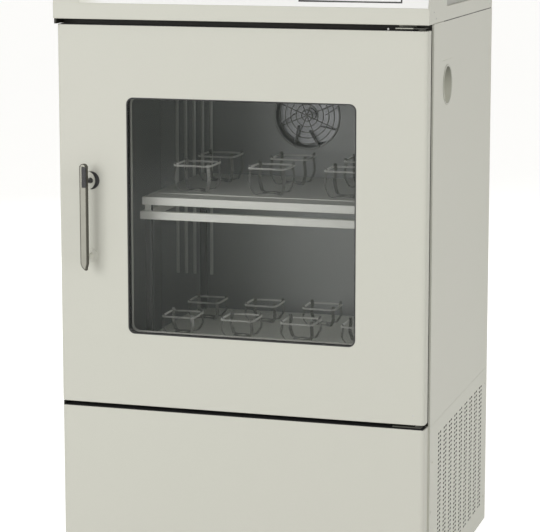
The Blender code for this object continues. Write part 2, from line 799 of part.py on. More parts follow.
# Door
def build_door():
    cream = paint("cream_paint_door", CREAM, 0.4)
    glass = paint("tinted_glass", (0.10, 0.12, 0.12), 0.05, alpha=0.35)
    rubber = paint("black_rubber", (0.03, 0.03, 0.03), 0.7)
    plan = front_rounded(DOOR_HALF, DOOR_FRONT, DOOR_BACK, DOOR_RADIUS)
    shell = make("door_shell", tool(add_prism, plan, "Z", DOOR_Z, DOOR_TOP), cream)
    radius = DOOR_RADIUS - SHEET
    hollow = front_rounded(DOOR_HALF - SHEET, DOOR_FRONT + SHEET, DOOR_BACK + SHEET, radius)
    cut(shell, tool(add_prism, hollow, "Z", DOOR_Z + SHEET, DOOR_TOP - SHEET))
    wall = SHEET + GAP
    plan = front_rounded(DOOR_HALF - wall, DOOR_FRONT + wall, DOOR_BACK, DOOR_RADIUS - wall)
    inner = make("door_inner_panel", tool(add_prism, plan, "Z", DOOR_Z + wall, DOOR_TOP - wall), cream)

    def window(lap):
        """The window's outline, grown all round by a lap."""
        x0 = WINDOW_SHIFT - WINDOW_WIDTH / 2 - lap
        x1 = WINDOW_SHIFT + WINDOW_WIDTH / 2 + lap
        z1 = DOOR_TOP - WINDOW_DROP + lap
        return rounded(x0, x1, z1 - WINDOW_HEIGHT - 2 * lap, z1, WINDOW_RADIUS + lap)

    cut(shell, tool(add_prism, window(0), "Y", DOOR_FRONT - CUT_PAST, DOOR_FRONT + 2 * SHEET))
    pane_front = DOOR_FRONT + SHEET + GAP
    rib_front = pane_front + GLASS + GAP
    rib_back = rib_front + PANE_SPACING
    seal_back = rib_back + GAP + GLASS
    pane = tool(add_prism, window(GLASS_LAP), "Y", pane_front, pane_front + GLASS)
    outer = make("window_outer_glass", pane, glass)
    pane = tool(add_prism, window(GLASS_LAP), "Y", rib_back + GAP, seal_back)
    back_pane = make("window_inner_glass", pane, glass)
    seal_lap = GLASS_LAP + GAP + SEAL_WALL
    seal = make("window_seal", tool(add_prism, window(seal_lap), "Y", pane_front, seal_back), rubber)
    cut(seal, tool(add_prism, window(0), "Y", pane_front - CUT_PAST, seal_back + CUT_PAST))
    cut(seal, tool(add_prism, window(GLASS_LAP + GAP), "Y", pane_front - CUT_PAST, rib_front))
    cut(seal, tool(add_prism, window(GLASS_LAP + GAP), "Y", rib_back, seal_back + CUT_PAST))
    cut(inner, tool(add_prism, window(seal_lap + GAP), "Y", DOOR_FRONT, seal_back + GAP))
    cut(inner, tool(add_prism, window(SEAL_LIP), "Y", DOOR_FRONT, DOOR_BACK + CUT_PAST))
    pivot = (DOOR_HALF - PIVOT_FROM_EDGE, DOOR_BACK - PIVOT_FROM_BACK)
    for end, into in ((DOOR_Z, 1), (DOOR_TOP, -1)):
        start, stop = sorted((end - into * CUT_PAST, end + into * (HINGE_PIN_DEPTH + 0.001)))
        for piece in (shell, inner):
            cut(piece, tool(add_cylinder, bore(HINGE_PIN, GAP), "Z", pivot, start, stop))
    reach = DOOR_HALF - GASKET_INSET
    low = (-reach, DOOR_BACK + GAP, DOOR_Z + GASKET_INSET)
    high = (reach, CASING_FRONT - GAP, DOOR_TOP - GASKET_INSET)
    gasket = block("door_gasket", low, high, paint("grey_gasket", (0.55, 0.55, 0.53), 0.7))
    inside = reach - GASKET_WIDTH
    edge = GASKET_INSET + GASKET_WIDTH
    low = (-inside, DOOR_BACK, DOOR_Z + edge)
    cut(gasket, tool(add_box, low, (inside, CASING_FRONT, DOOR_TOP - edge)))
    swing = joint_axis("door_hinge", (*pivot, DOOR_Z))
    carry(swing, shell, inner, outer, back_pane, seal, gasket)
    build_handle(swing)
    build_hinges(pivot)


def build_hinges(pivot):
    steel = paint("hinge_steel", (0.60, 0.61, 0.60), 0.35, 0.8)
    x, y = pivot
    for name, edge, into in (("hinge_bracket_top", DOOR_TOP, -1), ("hinge_bracket_bottom", DOOR_Z, 1)):
        near = edge - into * HINGE_PLATE_LIFT
        far = near - into * HINGE_PLATE
        low_z, high_z = sorted((near, far))
        left, right = x - HINGE_PLATE_LEFT, x + HINGE_PLATE_RIGHT
        low = (left, y - HINGE_COLLAR - SHEET, low_z)
        bracket = block(name, low, (right, CASING_FRONT - GAP, high_z), steel)
        limit = HEAD_Z - 2 * GAP if into < 0 else DOOR_Z - FRONT_PANEL_GAP + GAP
        start, stop = sorted((near, limit))
        low = (left, CASING_FRONT - GAP - HINGE_PLATE, start)
        join(bracket, tool(add_box, low, (right, CASING_FRONT - GAP, stop)))
        middle = (near + far) / 2
        start, stop = sorted((middle, edge - into * GAP))
        join(bracket, tool(add_cylinder, HINGE_COLLAR, "Z", pivot, start, stop))
        start, stop = sorted((middle, edge + into * HINGE_PIN_DEPTH))
        join(bracket, tool(add_cylinder, HINGE_PIN, "Z", pivot, start, stop, segments=16))


def build_handle(swing):
    chrome = paint("brushed_chrome", (0.70, 0.70, 0.69), 0.25, 0.9)
    black = paint("black_plastic", (0.02, 0.02, 0.02), 0.4)
    back = DOOR_FRONT - HANDLE_STANDOFF
    front = back - HANDLE_DEPTH
    top = DOOR_TOP - HANDLE_DROP
    bottom = top - HANDLE_LENGTH
    half = HANDLE_WIDTH / 2
    left, right = HANDLE_X - half, HANDLE_X + half
    outline = [
        (left, top - HANDLE_TIP / 3), (left + half / 2, top), (right - half / 2, top),
        (right, top - HANDLE_TIP / 3), (right, bottom + HANDLE_TIP), (right - half / 2, bottom),
        (HANDLE_X, bottom), (left, bottom + HANDLE_TIP),
    ]
    handle = make("door_handle", tool(add_prism, outline, "Y", front, back), chrome)
    lower = (HANDLE_X, DOOR_TOP - LOWER_POST_DROP)
    door_face = DOOR_FRONT - GAP
    profile = [
        (0, door_face),
        (LOWER_ROSETTE, door_face),
        (LOWER_ROSETTE, door_face - ROSETTE_HEIGHT),
        (POST_RADIUS, door_face - 2 * ROSETTE_HEIGHT),
        (POST_RADIUS, (front + back) / 2),
        (0, (front + back) / 2),
    ]
    join(handle, tool(add_lathe, profile, "Y", lower, 12))
    upper = (HANDLE_X, DOOR_TOP - UPPER_POST_DROP)
    profile = [
        (0, door_face),
        (UPPER_ROSETTE, door_face),
        (UPPER_ROSETTE, door_face - ROSETTE_HEIGHT),
        (UPPER_ROSETTE * 0.6, door_face - 2.5 * ROSETTE_HEIGHT),
        (STEM_RADIUS * 1.6, door_face - 5 * ROSETTE_HEIGHT),
        (STEM_RADIUS, door_face - 6 * ROSETTE_HEIGHT),
        (STEM_RADIUS, back + GAP),
        (0, back + GAP),
    ]
    escutcheon = make("latch_escutcheon", tool(add_lathe, profile, "Y", upper, ROUND), black)
    high_z = DOOR_TOP - BUTTON_DROP
    floor = front + BUTTON_DEPTH + 0.004
    half = BUTTON_WIDTH / 2
    low = (HANDLE_X - half - GAP, front - CUT_PAST, high_z - BUTTON_LENGTH - GAP)
    cut(handle, tool(add_box, low, (HANDLE_X + half + GAP, floor, high_z + GAP)))
    low = (HANDLE_X - half, front - BUTTON_PROUD, high_z - BUTTON_LENGTH)
    button = block("latch_button", low, (HANDLE_X + half, front + BUTTON_DEPTH, high_z), black)
    carry(swing, handle, escutcheon)
    carry(joint_axis("latch_press", button.location, swing), button)


# Shaker drive
def support_places():
    return (-SUPPORT_X, SUPPORT_FRONT), (SUPPORT_X, SUPPORT_FRONT), (0, SUPPORT_REAR)


def add_crank(bm, shaft, disc, centre, shaft_bottom):
    """A shaft with a disc on top; its eccentric pin is joined on afterwards."""
    profile = [
        (0, shaft_bottom),
        (shaft, shaft_bottom),
        (shaft, DISC_Z),
        (disc, DISC_Z),
        (disc, DISC_Z + CRANK_DISC),
        (0, DISC_Z + CRANK_DISC),
    ]
    add_lathe(bm, profile, "Z", centre, ROUND)


def add_pin(bm, centre):
    x, y = centre
    top = FRAME_Z + PIN_LENGTH
    add_cylinder(bm, PIN_RADIUS, "Z", (x + ORBIT, y), DISC_Z + CRANK_DISC / 2, top, segments=16)


def pulley_profile(radius, shaft):
    flange = radius + PULLEY_FLANGE
    top = PULLEY_Z + PULLEY_HEIGHT
    return [
        (shaft, PULLEY_Z),
        (flange, PULLEY_Z),
        (flange, PULLEY_Z + PULLEY_RIM),
        (radius, PULLEY_Z + PULLEY_RIM),
        (radius, top - PULLEY_RIM),
        (flange, top - PULLEY_RIM),
        (flange, top),
        (shaft, top),
    ]


def belt_outline(radius_main, radius_motor, segments=32):
    """The loop round both pulleys, at a distance from each centre."""
    spread = math.degrees(math.acos((radius_main - radius_motor) / -MOTOR_X))
    side = 180 - spread
    main = arc((0, DRIVE_Y), radius_main, -side, side, segments // 2)
    motor = arc((MOTOR_X, DRIVE_Y), radius_motor, side, 360 - side, segments // 4)
    return main + motor


def build_drive():
    cast = paint("cast_grey", (0.35, 0.36, 0.37), 0.6, 0.7)
    steel = paint("ground_steel", (0.65, 0.66, 0.67), 0.3, 0.9)
    plate_top = PLATE_Z + DRIVE_PLATE
    low = (-DRIVE_PLATE_WIDTH / 2, DRIVE_Y - DRIVE_PLATE_DEPTH / 2, PLATE_Z)
    high = (DRIVE_PLATE_WIDTH / 2, DRIVE_Y + DRIVE_PLATE_DEPTH / 2, plate_top)
    plate = block("drive_plate", low, high, cast)
    main = (0, DRIVE_Y)
    join(plate, tool(add_cylinder, TUBE_RADIUS, "Z", main, TUBE_Z, BOSS_TOP), "MANIFOLD")
    hole = bore(MAIN_SHAFT, RUN)
    passage = tool(add_cylinder, hole, "Z", main, TUBE_Z - CUT_PAST, BOSS_TOP + CUT_PAST)
    cut(plate, passage, "MANIFOLD")
    bosses = bmesh.new()
    holes = bmesh.new()
    for x, y in support_places():
        place = (x, DRIVE_Y + y)
        add_cylinder(bosses, BOSS_RADIUS, "Z", place, plate_top - DRIVE_PLATE / 2, BOSS_TOP)
        add_cylinder(holes, bore(SUPPORT_SHAFT, RUN), "Z", place, PLATE_Z - CUT_PAST, BOSS_TOP + CUT_PAST)
    join(plate, bosses, "MANIFOLD")
    cut(plate, holes, "MANIFOLD")

    crank = joint_axis("crank_axis", (*main, DISC_Z))
    body = bmesh.new()
    add_crank(body, MAIN_SHAFT, MAIN_DISC_RADIUS, main, PULLEY_Z + PULLEY_RIM)
    spindle = make("main_crank", body, steel, origin=(*main, DISC_Z))
    weight = arc(main, COUNTERWEIGHT_RADIUS, 120, 240, 6)
    weight += arc(main, MAIN_DISC_RADIUS / 2, 240, 120, 2)
    join(spindle, tool(add_prism, weight, "Z", DISC_Z, DISC_Z + CRANK_DISC))
    join(spindle, tool(add_pin, main))
    wheel = tool(add_lathe, pulley_profile(PULLEY_RADIUS, MAIN_SHAFT / 2), "Z", main, 20)
    join(spindle, wheel)
    carry(crank, spindle)
    platform = joint_axis("platform_axis", (ORBIT, DRIVE_Y, FRAME_Z), crank)
    for i, (x, y) in enumerate(support_places(), 1):
        place = (x, DRIVE_Y + y)
        body = bmesh.new()
        add_crank(body, SUPPORT_SHAFT, SUPPORT_DISC_RADIUS, place, PLATE_Z + GAP)
        support = make(f"support_crank_{i}", body, steel, origin=(*place, DISC_Z))
        join(support, tool(add_pin, place))
        carry(joint_axis(f"support_axis_{i}", (*place, DISC_Z)), support)

    build_motor(steel)
    inner = bore(PULLEY_RADIUS, 2 * GAP, 32)
    inner_motor = bore(MOTOR_PULLEY_RADIUS, 2 * GAP, 16)
    bottom = PULLEY_Z + PULLEY_RIM + GAP
    top = PULLEY_Z + PULLEY_HEIGHT - PULLEY_RIM - GAP
    loop = belt_outline(inner + BELT_THICKNESS, inner_motor + BELT_THICKNESS)
    belt_rubber = paint("belt_rubber", (0.03, 0.03, 0.03), 0.7)
    belt = make("drive_belt", tool(add_prism, loop, "Z", bottom, top), belt_rubber)
    cut(belt, tool(add_prism, belt_outline(inner, inner_motor), "Z", bottom - 0.005, top + 0.005))
    return platform


def build_motor(steel):
    body = paint("motor_enamel", (0.10, 0.12, 0.14), 0.45)
    centre = (MOTOR_X, DRIVE_Y)
    flange_top = PULLEY_Z - RUN - MOTOR_FLANGE
    flange_z = flange_top - MOTOR_FLANGE
    bottom = flange_z - MOTOR_HEIGHT
    profile = [
        (0, bottom),
        (MOTOR_RADIUS - 0.006, bottom),
        (MOTOR_RADIUS, bottom + 0.006),
        (MOTOR_RADIUS, flange_z + MOTOR_FLANGE / 2),
        (0, flange_z + MOTOR_FLANGE / 2),
    ]
    motor = make("drive_motor", tool(add_lathe, profile, "Z", centre, ROUND), body)
    reach = MOTOR_RADIUS + 0.008
    hangers = bmesh.new()
    half = MOTOR_RADIUS * 0.7
    low = (MOTOR_X - half, DRIVE_Y - reach - MOTOR_FLANGE, flange_z)
    add_box(hangers, low, (MOTOR_X + half, DRIVE_Y + reach + MOTOR_FLANGE, flange_top))
    join(motor, hangers)
    for start in (-reach - MOTOR_FLANGE, reach):
        hanger = bmesh.new()
        low = (MOTOR_X - half, DRIVE_Y + start, flange_z + MOTOR_FLANGE / 2)
        add_box(hanger, low, (MOTOR_X + half, DRIVE_Y + start + MOTOR_FLANGE, CASING_Z))
        join(motor, hanger)
    hole = bore(MOTOR_SHAFT, RUN)
    blind = tool(add_cylinder, hole, "Z", centre, flange_z - 0.020, flange_top + CUT_PAST)
    cut(motor, blind)
    turning = joint_axis("motor_axis", (*centre, PULLEY_Z))
    profile = pulley_profile(MOTOR_PULLEY_RADIUS, MOTOR_SHAFT / 2)
    body = tool(add_lathe, profile, "Z", centre, ROUND)
    pulley = make("motor_pulley", body, steel, origin=(*centre, PULLEY_Z))
    shaft_bottom = flange_z - 0.018
    shaft_top = PULLEY_Z + PULLEY_HEIGHT + 0.003
    join(pulley, tool(add_cylinder, MOTOR_SHAFT, "Z", centre, shaft_bottom, shaft_top, segments=16))
    carry(turning, pulley)


# Shaking platform with its two decks
def deck_pan(name, top, width, depth, material):
    """A sheet deck with its four edges turned down."""
    x, y = PLATFORM_X, DRIVE_Y
    bottom = top - DECK_SHEET
    low = (x - width / 2, y - depth / 2, top - DECK_LIP)
    pan = block(name, low, (x + width / 2, y + depth / 2, top), material)
    wall = DECK_SHEET
    low = (x - width / 2 + wall, y - depth / 2 + wall, top - DECK_LIP - CUT_PAST)
    cut(pan, tool(add_box, low, (x + width / 2 - wall, y + depth / 2 - wall, bottom)))
    return pan


def add_strip(bm, centre, turn, stations):
    """A clamp finger: a flat strip bent outward and in again, through (radius, height) stations."""
    across = Vector((-math.sin(turn), math.cos(turn), 0)) * CLAMP_STRIP / 2
    rings = []
    for radius, height in stations:
        ring = []
        for side, thick in ((-1, 0), (1, 0), (1, CLAMP_METAL), (-1, CLAMP_METAL)):
            r = radius + thick
            spot = Vector((centre[0] + r * math.cos(turn), centre[1] + r * math.sin(turn), height))
            ring.append(bm.verts.new(spot + across * side))
        rings.append(ring)
    bm.faces.new(rings[0])
    bm.faces.new(rings[-1])
    for low, high in zip(rings, rings[1:]):
        for i in range(4):
            j = (i + 1) % 4
            bm.faces.new([low[i], low[j], high[j], high[i]])


def clamp_tray(name, deck_top, clamps, material):
    """A thin tray with flask clamps: spring fingers and a wire ring round each seat."""
    pitch_x, pitch_y = clamps["pitch_x"], clamps["pitch_y"]
    radius, height = clamps["radius"], clamps["height"]
    bottom = deck_top + GAP
    top = bottom + TRAY_SHEET
    half_x = pitch_x * (clamps["columns"] - 1) / 2
    half_y = pitch_y * (clamps["rows"] - 1) / 2
    reach_x = min(half_x + radius + TRAY_MARGIN, DECK_WIDTH / 2 - GAP)
    reach_y = half_y + radius
    low = (PLATFORM_X - reach_x, DRIVE_Y - reach_y, bottom)
    tray = block(name, low, (PLATFORM_X + reach_x, DRIVE_Y + reach_y, top), material)
    fingers = bmesh.new()
    rings = bmesh.new()
    stations = (
        (radius * 0.80, bottom + TRAY_SHEET / 2),
        (radius * 0.98, top + height * 0.45),
        (radius * 0.90, top + height + 0.008),
    )
    ring_radius = radius * 0.90 + CLAMP_METAL / 2 + CLAMP_WIRE + 0.0003
    for column in range(clamps["columns"]):
        for row in range(clamps["rows"]):
            x = PLATFORM_X - half_x + column * pitch_x
            y = DRIVE_Y - half_y + row * pitch_y
            for i in range(CLAMP_FINGERS):
                add_strip(fingers, (x, y), math.radians(45 + 360 * i / CLAMP_FINGERS), stations)
            add_wire_ring(rings, (x, y, top + height), ring_radius, CLAMP_WIRE, 10, 3)
    join(tray, fingers)
    join(tray, rings)
    return tray


def build_platform(platform):
    alloy = paint("platform_alloy", (0.62, 0.63, 0.62), 0.35, 0.8)
    sheet = paint("deck_steel", (0.68, 0.69, 0.66), 0.35, 0.7)
    spring = paint("spring_steel", (0.70, 0.70, 0.68), 0.3, 0.9)
    x, y = PLATFORM_X, DRIVE_Y
    top = FRAME_Z + FRAME_HEIGHT
    low = (x - FRAME_WIDTH / 2, y - FRAME_DEPTH / 2, FRAME_Z)
    frame = block("platform_frame", low, (x + FRAME_WIDTH / 2, y + FRAME_DEPTH / 2, top), alloy)
    pockets = bmesh.new()
    half = FRAME_BEAM / 2
    outer_x = FRAME_WIDTH / 2 - FRAME_TUBE
    outer_y = FRAME_DEPTH / 2 - FRAME_TUBE
    front_beam = SUPPORT_FRONT + half
    for side in (-1, 1):
        start, end = sorted((x + side * half, x + side * outer_x))
        add_box(pockets, (start, y + front_beam, FRAME_Z - CUT_PAST), (end, y + outer_y, top + CUT_PAST))
    cut(frame, pockets)
    sockets = bmesh.new()
    for place in (*support_places(), (0, 0)):
        spot = (place[0] + x, place[1] + y)
        end = FRAME_Z + PIN_LENGTH + GAP
        add_cylinder(sockets, bore(PIN_RADIUS, RUN, 16), "Z", spot, FRAME_Z - CUT_PAST, end, 16)
    cut(frame, sockets)

    lower_top = LOWER_DECK_Z + DECK_SHEET
    lower = deck_pan("lower_deck", lower_top, DECK_WIDTH, DECK_DEPTH, sheet)
    upper_top = UPPER_DECK_Z + DECK_SHEET
    upper = deck_pan("upper_deck", upper_top, DECK_WIDTH - 2 * RACK_INSET, DECK_DEPTH, sheet)
    rail_top = upper_top - DECK_LIP - RACK_GAP
    rail_z = rail_top - RACK_RAIL
    low = (x - DECK_WIDTH / 2, y - DECK_DEPTH / 2, rail_z)
    rack = block("upper_rack", low, (x + DECK_WIDTH / 2, y + DECK_DEPTH / 2, rail_top), alloy)
    low = (x - DECK_WIDTH / 2 + RACK_POST, y - DECK_DEPTH / 2 + RACK_POST, rail_z - CUT_PAST)
    high = (x + DECK_WIDTH / 2 - RACK_POST, y + DECK_DEPTH / 2 - RACK_POST, rail_top + CUT_PAST)
    cut(rack, tool(add_box, low, high))
    posts = bmesh.new()
    margin = DECK_SHEET + 2 * GAP + RACK_INSET
    reach_x = DECK_WIDTH / 2 - margin
    reach_y = DECK_DEPTH / 2 - margin
    for side_x in (-1, 1):
        for side_y in (-1, 1):
            outer = Vector((x + side_x * reach_x, y + side_y * reach_y, 0))
            inner = outer - Vector((side_x, side_y, 0)) * RACK_POST
            low = (min(outer.x, inner.x), min(outer.y, inner.y), lower_top + GAP)
            high = (max(outer.x, inner.x), max(outer.y, inner.y), UPPER_DECK_Z - GAP)
            add_box(posts, low, high)
    join(rack, posts)
    lower_tray = clamp_tray("lower_clamp_tray", lower_top, LOWER_CLAMPS, spring)
    upper_tray = clamp_tray("upper_clamp_tray", upper_top, UPPER_CLAMPS, spring)
    carry(platform, frame, lower, rack, upper, lower_tray, upper_tray)


# Air circulation, heating and cooling in the chamber
def comb(x0, x1, y0, y1, fins, spine):
    """A plan outline of a finned block: fins reach forward from a solid spine at the back."""
    pitch = (x1 - x0) / (2 * fins - 1)
    outline = [(x1, y1), (x0, y1)]
    for i in range(fins):
        left = x0 + 2 * i * pitch
        outline += [(left, y0), (left + pitch, y0)]
        if i < fins - 1:
            outline += [(left + pitch, y1 - spine), (left + 2 * pitch, y1 - spine)]
    return outline


def build_air():
    steel = paint("baffle_steel", (0.52, 0.53, 0.53), 0.35, 0.85)
    (x0, y0, z0), (x1, y1, z1) = CHAMBER
    low = (x0 + GAP, BAFFLE_Y, z0 + GAP)
    baffle = block("rear_baffle", low, (x1 - GAP, BAFFLE_Y + BAFFLE, z1 - GAP), steel)
    fan_z = CHAMBER_FLOOR + FAN_HEIGHT
    slots = bmesh.new()
    near, far = BAFFLE_Y - 0.005, BAFFLE_Y + BAFFLE + 0.005
    for i in range(INTAKE_SLOTS):
        z = fan_z + (i - (INTAKE_SLOTS - 1) / 2) * INTAKE_PITCH
        half = math.sqrt(FAN_RADIUS**2 - (z - fan_z) ** 2)
        add_box(slots, (-half, near, z - INTAKE_PITCH / 4), (half, far, z + INTAKE_PITCH / 4))
    bottom = CHAMBER_FLOOR + 0.180
    for side in (-1, 1):
        for i in range(BAFFLE_SLOTS):
            x = side * (x1 - 0.050 - i * BAFFLE_SLOT_PITCH)
            low = (x - BAFFLE_SLOT_WIDTH / 2, near, bottom)
            add_box(slots, low, (x + BAFFLE_SLOT_WIDTH / 2, far, bottom + BAFFLE_SLOT_HEIGHT))
    cut(baffle, slots)

    centre = (0, fan_z)
    motor_front = CHAMBER_BACK - GAP - FAN_MOTOR_DEPTH
    body = tool(add_cylinder, FAN_MOTOR_RADIUS, "Y", centre, motor_front, CHAMBER_BACK - GAP)
    motor = make("fan_motor", body, paint("fan_motor_enamel", (0.08, 0.08, 0.09), 0.5))
    hole = bore(FAN_SHAFT, RUN, 16)
    end = motor_front + FAN_SHAFT_REACH + 0.002
    cut(motor, tool(add_cylinder, hole, "Y", centre, motor_front - CUT_PAST, end, 16))
    disc_back = motor_front - 0.003
    alloy = paint("fan_alloy", (0.60, 0.61, 0.62), 0.4, 0.9)
    profile = [
        (0, disc_back - FAN_HUB),
        (FAN_RADIUS * 0.2, disc_back - FAN_HUB),
        (FAN_RADIUS * 0.2, disc_back - FAN_DISC),
        (FAN_RADIUS, disc_back - FAN_DISC),
        (FAN_RADIUS, disc_back),
        (FAN_SHAFT, disc_back),
        (FAN_SHAFT, motor_front + FAN_SHAFT_REACH),
        (0, motor_front + FAN_SHAFT_REACH),
    ]
    disc = tool(add_lathe, profile, "Y", centre, ROUND)
    fan = make("circulation_fan", disc, alloy, origin=(0, disc_back, fan_z))
    blades = bmesh.new()
    for i in range(FAN_BLADES):
        turn = 2 * math.pi * i / FAN_BLADES
        direction = Vector((math.cos(turn), math.sin(turn)))
        lean = Vector((-direction.y, direction.x))
        root = direction * FAN_RADIUS * 0.5
        tip = direction * FAN_RADIUS * 0.97 + lean * FAN_RADIUS * 0.30
        tip *= FAN_RADIUS * 0.98 / tip.length
        thick = (tip - root).normalized().orthogonal() * 0.0008
        outline = [root + thick, tip + thick, tip - thick, root - thick]
        outline = [(p.x, fan_z + p.y) for p in outline]
        add_prism(blades, outline, "Y", disc_back - FAN_DEPTH, disc_back - FAN_DISC / 2)
    join(fan, blades)
    carry(joint_axis("fan_axis", (0, disc_back, fan_z)), fan)

    heater_y = disc_back - FAN_DEPTH / 2
    points = [(x, heater_y, z) for x, z in arc((0, 0), HEATER_RADIUS, 5, 340, 18)]
    wall = CHAMBER_BACK - GAP
    start, end = points[0], points[-1]
    points = [(start[0], wall, start[2])] + points + [(end[0], wall, end[2] - 0.004)]
    curve = bpy.data.curves.new("heater_coil", "CURVE")
    curve.dimensions = "3D"
    curve.bevel_depth = HEATER_TUBE
    curve.bevel_resolution = 1
    curve.use_fill_caps = True
    spline = curve.splines.new("POLY")
    spline.points.add(len(points) - 1)
    for point, spot in zip(spline.points, points):
        point.co = (*spot, 1)
    curve.materials.append(paint("heater_sheath", (0.30, 0.28, 0.26), 0.5, 0.8))
    heater = bpy.data.objects.new("heater_coil", curve)
    heater.location = (0, 0, fan_z)
    scene.collection.objects.link(heater)

    half = EVAPORATOR_WIDTH / 2
    bottom = CHAMBER_FLOOR + EVAPORATOR_LIFT
    back = CHAMBER_BACK - GAP
    outline = comb(-half, half, back - EVAPORATOR_DEPTH, back, EVAPORATOR_FINS, EVAPORATOR_DEPTH * 0.4)
    fins = tool(add_prism, outline, "Z", bottom, bottom + EVAPORATOR_HEIGHT)
    make("evaporator", fins, paint("evaporator_alloy", (0.70, 0.72, 0.73), 0.4, 0.9))


# Refrigeration and mains inlet in the lower compartment
def build_refrigeration():
    floor = BASE_Z + FLOOR_PAN + GAP
    spot = (COMPRESSOR_X, DOOR_FRONT + COMPRESSOR_BACK)
    black = paint("compressor_black", (0.02, 0.02, 0.02), 0.35)
    top = floor + COMPRESSOR_HEIGHT
    profile = [
        (0, floor + 0.010),
        (COMPRESSOR_RADIUS * 0.75, floor + 0.010),
        (COMPRESSOR_RADIUS, floor + 0.035),
        (COMPRESSOR_RADIUS, top - 0.050),
        (COMPRESSOR_RADIUS * 0.85, top - 0.018),
        (COMPRESSOR_RADIUS * 0.45, top),
        (0, top),
    ]
    can = make("compressor", tool(add_lathe, profile, "Z", spot, ROUND), black)
    reach = COMPRESSOR_RADIUS * 0.9
    low = (spot[0] - reach, spot[1] - reach, floor)
    join(can, tool(add_box, low, (spot[0] + reach, spot[1] + reach, floor + 0.014)))

    back = CASING_BACK - REAR_INSET - SHEET - CONDENSER_REAR_GAP
    front = back - CONDENSER_DEPTH
    left, right = CONDENSER_X - CONDENSER_WIDTH / 2, CONDENSER_X + CONDENSER_WIDTH / 2
    top = floor + CONDENSER_HEIGHT
    outline = comb(left, right, front, back, CONDENSER_FINS, CONDENSER_DEPTH * 0.3)
    outline = [(x, front + back - y) for x, y in outline]
    fins = tool(add_prism, outline, "Z", floor, top)
    condenser = make("condenser", fins, paint("condenser_fins", (0.25, 0.26, 0.27), 0.5, 0.6))
    shroud_front = front - SHROUD_DEPTH
    join(condenser, tool(add_box, (left, shroud_front, floor), (right, front + STRUT_METAL, top)))
    middle = (CONDENSER_X, (floor + top) / 2)
    swept = CONDENSER_FAN_RADIUS + FAN_TIP_GAP
    cut(condenser, tool(add_cylinder, swept, "Y", middle, shroud_front - CUT_PAST, front - 0.002))
    low = (left + STRUT_METAL, shroud_front, middle[1] - STRUT / 2)
    high = (right - STRUT_METAL, shroud_front + STRUT_METAL, middle[1] + STRUT / 2)
    join(condenser, tool(add_box, low, high))
    hub_front = shroud_front + STRUT_METAL + GAP
    hub_back = hub_front + CONDENSER_FAN_DEPTH
    body = tool(add_cylinder, CONDENSER_FAN_HUB, "Y", middle, hub_front, hub_back)
    spin = (CONDENSER_X, hub_front, middle[1])
    fan = make("condenser_fan", body, paint("fan_plastic", (0.05, 0.05, 0.05), 0.5), origin=spin)
    blades = bmesh.new()
    for i in range(CONDENSER_FAN_BLADES):
        start = 360 * i / CONDENSER_FAN_BLADES
        outline = arc((0, 0), CONDENSER_FAN_HUB - 0.004, start, start + 40, 2)
        outline += arc((0, 0), CONDENSER_FAN_RADIUS, start + 48, start + 8, 4)
        low_face, high_face = hub_front + 0.004, hub_front + 0.007
        add_prism(blades, [(CONDENSER_X + x, middle[1] + z) for x, z in outline], "Y", low_face, high_face)
    join(fan, blades)
    carry(joint_axis("condenser_fan_axis", spin), fan)


def build_inlet():
    black = paint("inlet_plastic", (0.03, 0.03, 0.03), 0.45)
    face = CASING_BACK - REAR_INSET + SHEET
    bottom = LOWER_Z + INLET_LIFT
    half = INLET_WIDTH / 2
    low = (INLET_X - half, face - INLET_DEPTH, bottom)
    inlet = block("power_inlet", low, (INLET_X + half, face, bottom + INLET_HEIGHT), black)
    rim = bmesh.new()
    edge = CASING_BACK - REAR_INSET + GAP
    low = (INLET_X - half - INLET_RIM, edge, bottom - INLET_RIM)
    high = (INLET_X + half + INLET_RIM, face, bottom + INLET_HEIGHT + INLET_RIM)
    add_box(rim, low, high)
    join(inlet, rim)
    low = (INLET_X - SOCKET_HALF, face - SOCKET_DEPTH, bottom + 0.006)
    cut(inlet, tool(add_box, low, (INLET_X + SOCKET_HALF, face + CUT_PAST, bottom + 0.024)))
    blades = bmesh.new()
    for x in (-CONTACT_PITCH, 0, CONTACT_PITCH):
        low = (INLET_X + x - 0.001, face - SOCKET_DEPTH - 0.002, bottom + 0.013)
        add_box(blades, low, (INLET_X + x + 0.001, face - 0.004, bottom + 0.017))
    join(inlet, blades)
    pivot_z = bottom + INLET_HEIGHT - 0.018
    pivot_y = face - 0.004
    radius = ROCKER_RADIUS + RUN
    low = (INLET_X - ROCKER_WIDTH / 2 - RUN, pivot_y - radius, pivot_z - radius)
    high = (INLET_X + ROCKER_WIDTH / 2 + RUN, face + CUT_PAST, pivot_z + radius)
    cut(inlet, tool(add_box, low, high))
    outline = arc((pivot_y, pivot_z), ROCKER_RADIUS, 95, 265, 8)
    outline += [(face - 0.0005, pivot_z - ROCKER_RADIUS * 0.8), (face + 0.001, pivot_z)]
    outline.append((face + 0.0040, pivot_z + ROCKER_RADIUS * 0.62))
    start, end = INLET_X - ROCKER_WIDTH / 2, INLET_X + ROCKER_WIDTH / 2
    spin = (INLET_X, pivot_y, pivot_z)
    rocker = make("power_switch", tool(add_prism, outline, "X", start, end), black, origin=spin)
    carry(joint_axis("switch_axis", spin), rocker)


build_base()
build_casters()
build_lower_panels()
build_cabinet()
build_grips()
build_head()
build_door()
build_platform(build_drive())
build_air()
build_refrigeration()
build_inlet()
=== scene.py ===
import json
import math

import bmesh
import bpy
from mathutils import Euler, Matrix, Vector


